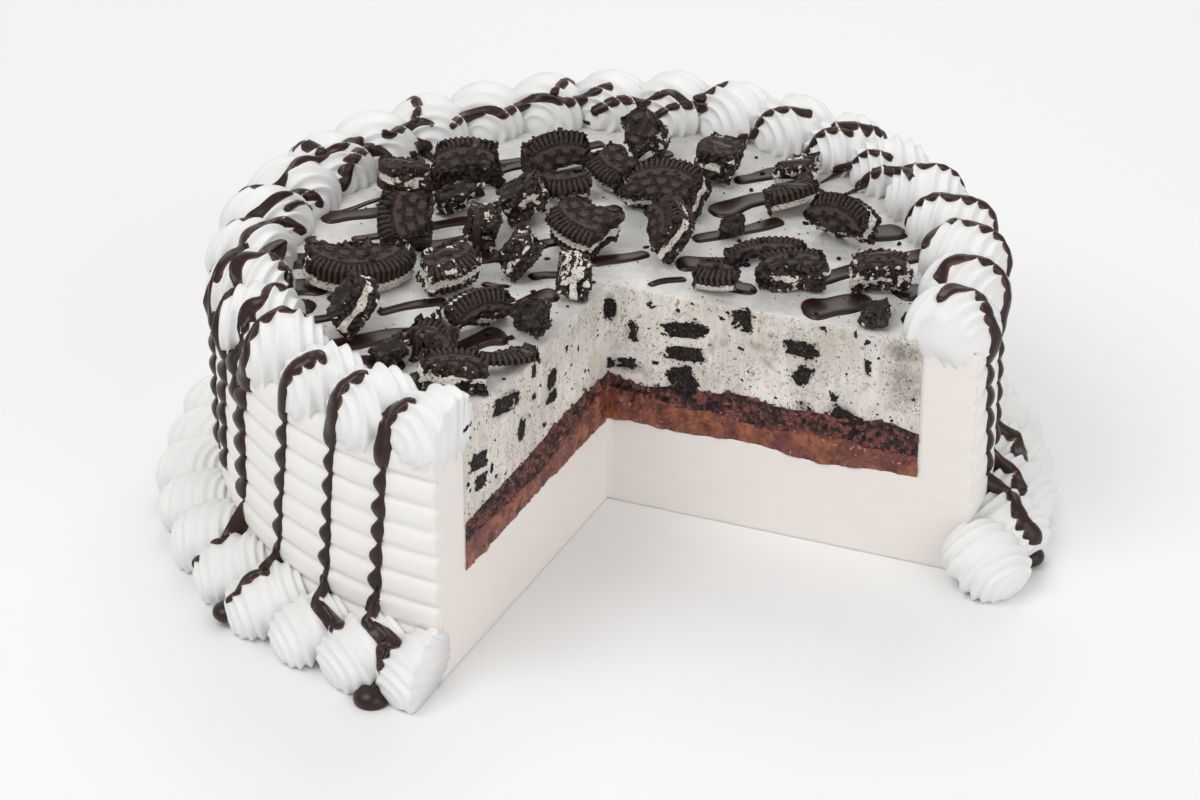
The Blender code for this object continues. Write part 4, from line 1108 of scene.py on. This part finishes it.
def creamMaterial():
    material, shader, place = newMaterial("cookies and cream", 0.5, {
        "Subsurface Weight": 0.08, "Subsurface Radius": (0.006, 0.005, 0.004), "Subsurface Scale": 0.3})
    cut = place.attribute("cut")
    smudge = place.attribute("smudge")
    cloud = place.noise(35, 3)
    fine = place.noise(240, 4, 0.65)
    streaks = place.stretched(1, 1, 0.16).noise(330, 4, 0.7)
    top = (cloud + 0.5 * (fine - 0.5)).above(0.3, 0.75).mixed(colour(196, 195, 191), colour(232, 231, 227))
    face = (0.6 * cloud + 0.5 * streaks).above(0.35, 0.75).mixed(colour(198, 190, 180), colour(242, 238, 231))
    # what was stirred in: brown dust in patches, grey shadows under the surface, specks in three sizes
    dust = place.noise(55, 2).above(0.47, 0.66) * place.noise(1250, 3, 0.7).above(0.52, 0.66)
    shadow = place.noise(170, 3).above(0.56, 0.72) * streaks.above(0.35, 0.6)
    warm = place.stretched(1, 1, 0.5).noise(75, 3).above(0.52, 0.66)
    bent = place.wobbled(300, 0.002).stretched(1, 1, 0.6)
    face = tinted(face, [
        (place.noise(90, 3).above(0.52, 0.75), 206, 203, 200),
        (0.8 * dust, 122, 100, 84),
        (0.5 * shadow, 128, 126, 128),
        (0.4 * warm, 210, 197, 178),
        (0.6 * bent.dots(420, 0.1, 0.4, 0.1), 84, 70, 62),
        (0.7 * bent.dots(900, 0.12, 0.45, 0.2), 86, 72, 62),
        (0.6 * bent.dots(1700, 0.16, 0.5, 0.34), 92, 78, 68),
        (smudge * (0.35 + 1.1 * place.noise(420, 4, 0.7)).above(0.5, 1.05), 82, 68, 60),
    ])
    scattered = place.noise(45, 2).above(0.45, 0.65)
    top = tinted(top, [
        (scattered * place.dots(420, 0.13, 0.2, 0.25), 64, 56, 52),
        (0.8 * scattered * place.dots(900, 0.2, 0.28, 0.35), 84, 76, 70),
    ])
    plug(cut.mixed(top, face), shader, "Base Color")
    plug(0.4 + 0.3 * fine, shader, "Roughness")
    plug((fine + cut * streaks + 0.3 * place.noise(900, 2)).bump(0.5, 0.0006), shader, "Normal")
    return material


def fudgeMaterial():
    material, shader, place = newMaterial("fudge", 0.4, {"Specular IOR Level": 0.5})
    relief = place.attribute("relief")
    soft = place.noise(150, 3)
    # lighter on the lumps of the cut and darker where it is pushed in: painted shade and light from the
    # relief, with random tone from the noise
    body = (soft + 0.25 * relief).above(0.3, 0.7).mixed(colour(86, 42, 33), colour(152, 88, 62))
    body = tinted(body, [
        (0.7 * place.noise(95, 2).above(0.48, 0.62), 104, 54, 54),
        (0.8 * place.noise(480, 4, 0.7).above(0.5, 0.66), 74, 38, 32),
        (place.noise(750, 3, 0.6).above(0.6, 0.72), 190, 138, 118),
    ])
    plug(body, shader, "Base Color")
    plug(0.24 + 0.35 * place.noise(350, 3), shader, "Roughness")
    plug((soft + 0.5 * place.noise(500, 3)).bump(0.8, 0.0016), shader, "Normal")
    return material


def crunchMaterial():
    material, shader, place = newMaterial("cookie crunch", 0.5, {"Specular IOR Level": 0.6})
    relief = place.attribute("relief")
    grain = place.noise(600, 4, 0.75)
    # near black in the pits and lighter brown on the lumps, from the relief and the grain: dark crumbs, with
    # painted shade in the pits
    body = tinted(colour(14, 4, 5), [
        ((0.28 + 0.7 * relief + 3.6 * (grain - 0.5)).above(0, 1), 128, 70, 58),
        (0.75 * place.noise(150, 3).above(0.5, 0.6), 56, 24, 26),
        # pinkish specks: painted highlights
        (0.8 * place.noise(800, 3, 0.6).above(0.6, 0.68), 186, 130, 124),
    ])
    plug(body, shader, "Base Color")
    plug(0.24 + 0.4 * place.noise(400, 3), shader, "Roughness")
    plug((grain + 0.5 * place.noise(1300, 2)).bump(1.0, 0.0012), shader, "Normal")
    return material


def crumbMaterial():
    # cookie that was cut through, or has softened in the ice cream
    material, shader, place = newMaterial("cookie crumbs", 0.75, {"Specular IOR Level": 0.3})
    grain = place.noise(900, 4, 0.7)
    body = tinted(colour(8, 6, 6), [
        (grain.above(0.35, 0.8), 64, 53, 49),
        # light flecks: painted glints
        (place.noise(1500, 2).above(0.66, 0.72), 150, 134, 122),
    ])
    plug(body, shader, "Base Color")
    plug(0.8 - 0.35 * grain, shader, "Roughness")
    plug((grain + 0.4 * place.noise(2600, 2)).bump(0.9, 0.0006), shader, "Normal")
    return material


def cookieMaterial():
    material, shader, place = newMaterial("chocolate cookie", 0.7, {"Specular IOR Level": 0.35})
    filling = place.attribute("filling")
    broken = place.attribute("broken")
    relief = place.attribute("relief")
    grain = place.noise(1100, 4, 0.7)
    # the wafer: darker and lighter by grain, and by the relief, which is painted shade in the grooves and
    # pits and painted light on the crests and the raised pattern
    wafer = tinted(colour(9, 7, 7), [
        ((0.46 + 0.36 * relief + 1.5 * (grain - 0.5)).above(0, 1), 84, 68, 62),
        # light flecks, more on the broken sides: painted glints, partly light crumb dust
        (place.noise(1700, 2).above(0.66, 0.72) * (0.15 + 0.6 * broken), 150, 130, 118),
    ])
    cream = tinted(colour(222, 212, 198), [
        (place.noise(500, 3), 248, 243, 234),
        (place.noise(1300, 3).above(0.6, 0.64), 62, 48, 43),
    ])
    plug(filling.above(0.4, 0.6).mixed(wafer, cream), shader, "Base Color")
    plug(0.75 - 0.4 * grain.above(0.5, 0.75), shader, "Roughness")
    plug((grain + 0.4 * place.noise(3000, 2)).bump(0.9, 0.0006), shader, "Normal")
    return material


def drizzleMaterial():
    material, shader, place = newMaterial("chocolate drizzle", 0.3, {
        "Specular IOR Level": 0.4, "Coat Weight": 0.05, "Coat Roughness": 0.2})
    thin = place.attribute("thin")
    thick = place.noise(90, 3).mixed(colour(34, 18, 14), colour(54, 31, 25))
    body = tinted(thick, [(thin.above(0.15, 0.85), 104, 68, 48), (thin.above(0.8, 1.0), 168, 126, 92)])
    plug(body, shader, "Base Color")
    plug(0.24 + 0.2 * place.noise(200, 3), shader, "Roughness")
    plug(place.noise(420, 3).bump(0.15, 0.0005), shader, "Normal")
    return material


# The layers

vanilla = {
    "innerColumns": 44, "wallColumns": 12, "baseRows": 35, "wallRows": 54,  # of the grid of its section
    "steps": 220,
    "comb": 1.5 * mm,       # how deep the grooves between the ridges are
    "wander": 0.35 * mm,    # how far the comb moved up and down on its way round
    "rough": 0.12 * mm,     # of the cut faces
}
# for each poured layer: the surfaces under and over it, its grid, the deepest relief of its cut faces, and
# how far it stands up in lumps, into the layer above
layers = {
    "fudge": {"bottom": "baseTop", "top": "fudgeTop", "columns": 214, "rows": 18, "steps": 40,
              "deepest": 0.7 * mm, "lumps": 1.6 * mm},
    "crunch": {"bottom": "fudgeTop", "top": "crunchTop", "columns": 300, "rows": 26, "steps": 40,
               "deepest": 0.8 * mm, "lumps": 2.4 * mm},
    "cookies_and_cream": {"bottom": "crunchTop", "top": "height", "columns": 170, "rows": 52, "steps": 100,
                          "deepest": mm, "lumps": 0},
}


def ridgeAt(azimuth, z):
    # how far the wall is set back at that height
    x, y = math.cos(azimuth), math.sin(azimuth)
    wander = vanilla["wander"] * noise.noise(Vector((3 * x, 3 * y, 40 * z)))
    share = ((z + wander) / ridgePitch) % 1
    depth = vanilla["comb"] * (1 + 0.25 * noise.noise(Vector((5 * x, 5 * y, 80 * z))))
    return depth * abs(2 * share - 1) ** 4


def vanillaRelief(ahead, z, seed):
    return vanilla["rough"] * noise.noise(Vector((ahead * 90, z * 300, seed)))


def buildVanilla(material):
    innerColumns, baseRows = vanilla["innerColumns"], vanilla["baseRows"]
    columns, rows = innerColumns + vanilla["wallColumns"], baseRows + vanilla["wallRows"]
    inner, base = cake["innerRadius"], cake["baseTop"] / cake["height"]

    def spacing(across, upwards):
        column, row = across * columns, upwards * rows
        radius, share = inner * column / innerColumns, base * row / baseRows
        if column > innerColumns + 0.001:
            beyond = (column - innerColumns) / vanilla["wallColumns"]
            radius = inner + (cake["wallRadius"] - inner) * beyond
        if row > baseRows + 0.001:
            share = base + (1 - base) * (row - baseRows) / vanilla["wallRows"]
        return None if radius < inner - mm and share > base + 0.001 else (radius, share)

    def shapeOf(x, y, radius, share):
        near = max(0, 1 - abs(share - base) * cake["height"] / (6 * mm))
        return share * cake["height"] + near * waveAt("baseTop", x, y) * (radius < inner + mm)

    bm = sectorSolid(columns, rows, vanilla["steps"], spacing, shapeOf)
    for vertex in bm.verts:
        if vertex.co.xy.length > cake["wallRadius"] - 0.1 * mm:
            azimuth = math.atan2(vertex.co.y, vertex.co.x)
            vertex.co -= headingOf(azimuth) * ridgeAt(azimuth, vertex.co.z)
    roughenCut(bm, vanillaRelief, mm)
    return pieceFrom(bm, "vanillaBody", material, ["vanilla"])


def buildLayer(name, nodeName, material, relief):
    layer, outer = layers[nodeName], cake["innerRadius"]
    bottom, top = layer["bottom"], layer["top"]

    def shapeOf(x, y, radius, share):
        low = cake[bottom] + waveAt(bottom, x, y)
        high = cake[top] + waveAt(top, x, y) if top in waves else cake[top]
        if layer["lumps"]:
            spot = Vector((x, y, 0))
            lump = 1 - noise.voronoi(spot * 330)[0][0] + 0.5 * noise.noise(spot * 900)
            high += layer["lumps"] * max(0, lump - 0.3) * min(1, 4 * (1 - radius / outer))
        return low + (high - low) * share

    def spacing(across, upwards):
        return across * outer, upwards

    bm = sectorSolid(layer["columns"], layer["rows"], layer["steps"], spacing, shapeOf)
    roughenCut(bm, relief, layer["deepest"])
    return pieceFrom(bm, name, material, [nodeName])


def fudgeRelief(ahead, z, seed):
    spot = Vector((ahead, z, seed * 0.1))
    return 0.15 * mm + 0.9 * mm * noise.noise(spot * 200) + 0.4 * mm * noise.noise(spot * 700)


def crunchRelief(ahead, z, seed):
    spot = Vector((ahead, z, seed * 0.1))
    crumbs = 0.5 - noise.voronoi(spot * 420)[0][0]
    fine = 0.8 * mm * noise.noise(spot * 200) + 0.4 * mm * noise.noise(spot * 1100)
    return 0.2 * mm + 2.2 * mm * crumbs + fine


def creamRelief(ahead, z, seed):
    spot = Vector((ahead, z * 0.4, seed * 0.1))
    return 0.35 * mm * noise.noise(spot * 130) + 0.15 * mm * noise.noise(spot * 500)


white, brown, chocolate, crumbs = pipingMaterial(), cookieMaterial(), drizzleMaterial(), crumbMaterial()
vanillaBody = buildVanilla(vanillaMaterial())
buildLayer("fudgeLayer", "fudge", fudgeMaterial(), fudgeRelief)
buildLayer("crunchLayer", "crunch", crunchMaterial(), crunchRelief)
creamLayer = buildLayer("creamLayer", "cookies_and_cream", creamMaterial(), creamRelief)
buildChunks(crumbs)
topSwirls = buildSwirls(topRow, "topSwirls", "top_border", white, trimsAtTop)
footSwirls = buildSwirls(footRow, "footSwirls", "foot_border", white, trimsAtFoot)
brokenCookies = [buildCookie(number, piece, brown) for number, piece in enumerate(cookiePieces, 1)]

whiteTree = treeOf([vanillaBody, creamLayer, topSwirls, footSwirls])
chocolateDrizzle = buildDrizzle(chocolate, whiteTree)
topTree = treeOf([creamLayer, topSwirls, chocolateDrizzle, *brokenCookies])
buildDrizzleOverCookies(chocolate, topTree)
buildCrumbs(crumbs, topTree)


# Camera, floor and light

studio = {
    "camera": (-2.4 * mm, -1112.7 * mm, 679.5 * mm),
    "lookDown": 30.18,      # degrees under the horizon
    "lens": 120, "sensor": 36,
    "floor": 6,             # half its width, in metres
    "floorColour": (0.9, 0.9, 0.9, 1),
    "world": 0.54,          # strength of the white light from all sides
    "aim": Vector((0, 0, 0.04)),
    "lights": {
        "keyLight": {"place": (-0.7, -0.5, 1.3), "size": 0.9, "power": 8.4},
        "fillLight": {"place": (0.9, -1.1, 0.7), "size": 1.2, "power": 6},
        "backLight": {"place": (0.2, 1.1, 1.2), "size": 1.0, "power": 6},
    },
}


def buildStudio():
    scene = bpy.context.scene
    camera = linked("camera", bpy.data.cameras.new("camera"))
    camera.location = studio["camera"]
    camera.rotation_euler = (math.radians(90 - studio["lookDown"]), 0, 0)
    camera.data.lens = studio["lens"]
    camera.data.sensor_width = studio["sensor"]
    scene.camera = camera

    bm = bmesh.new()
    bmesh.ops.create_grid(bm, x_segments=2, y_segments=2, size=studio["floor"])
    floor = linked("floor", meshFrom(bm, "floor"))
    floor.data.materials.append(newMaterial("floor", 0.6, {"Base Color": studio["floorColour"]})[0])

    world = bpy.data.worlds.new("studio")
    world.use_nodes = True
    background = world.node_tree.nodes["Background"]
    background.inputs["Color"].default_value = (1, 1, 1, 1)
    background.inputs["Strength"].default_value = studio["world"]
    scene.world = world
    scene.view_settings.view_transform = "Standard"

    for name, light in studio["lights"].items():
        lamp = bpy.data.lights.new(name, "AREA")
        lamp.size = light["size"]
        lamp.energy = light["power"]
        holder = linked(name, lamp)
        holder.location = light["place"]
        aim = studio["aim"] - Vector(light["place"])
        holder.rotation_euler = aim.to_track_quat("-Z", "Y").to_euler()
    print("camera, floor and light")


buildStudio()
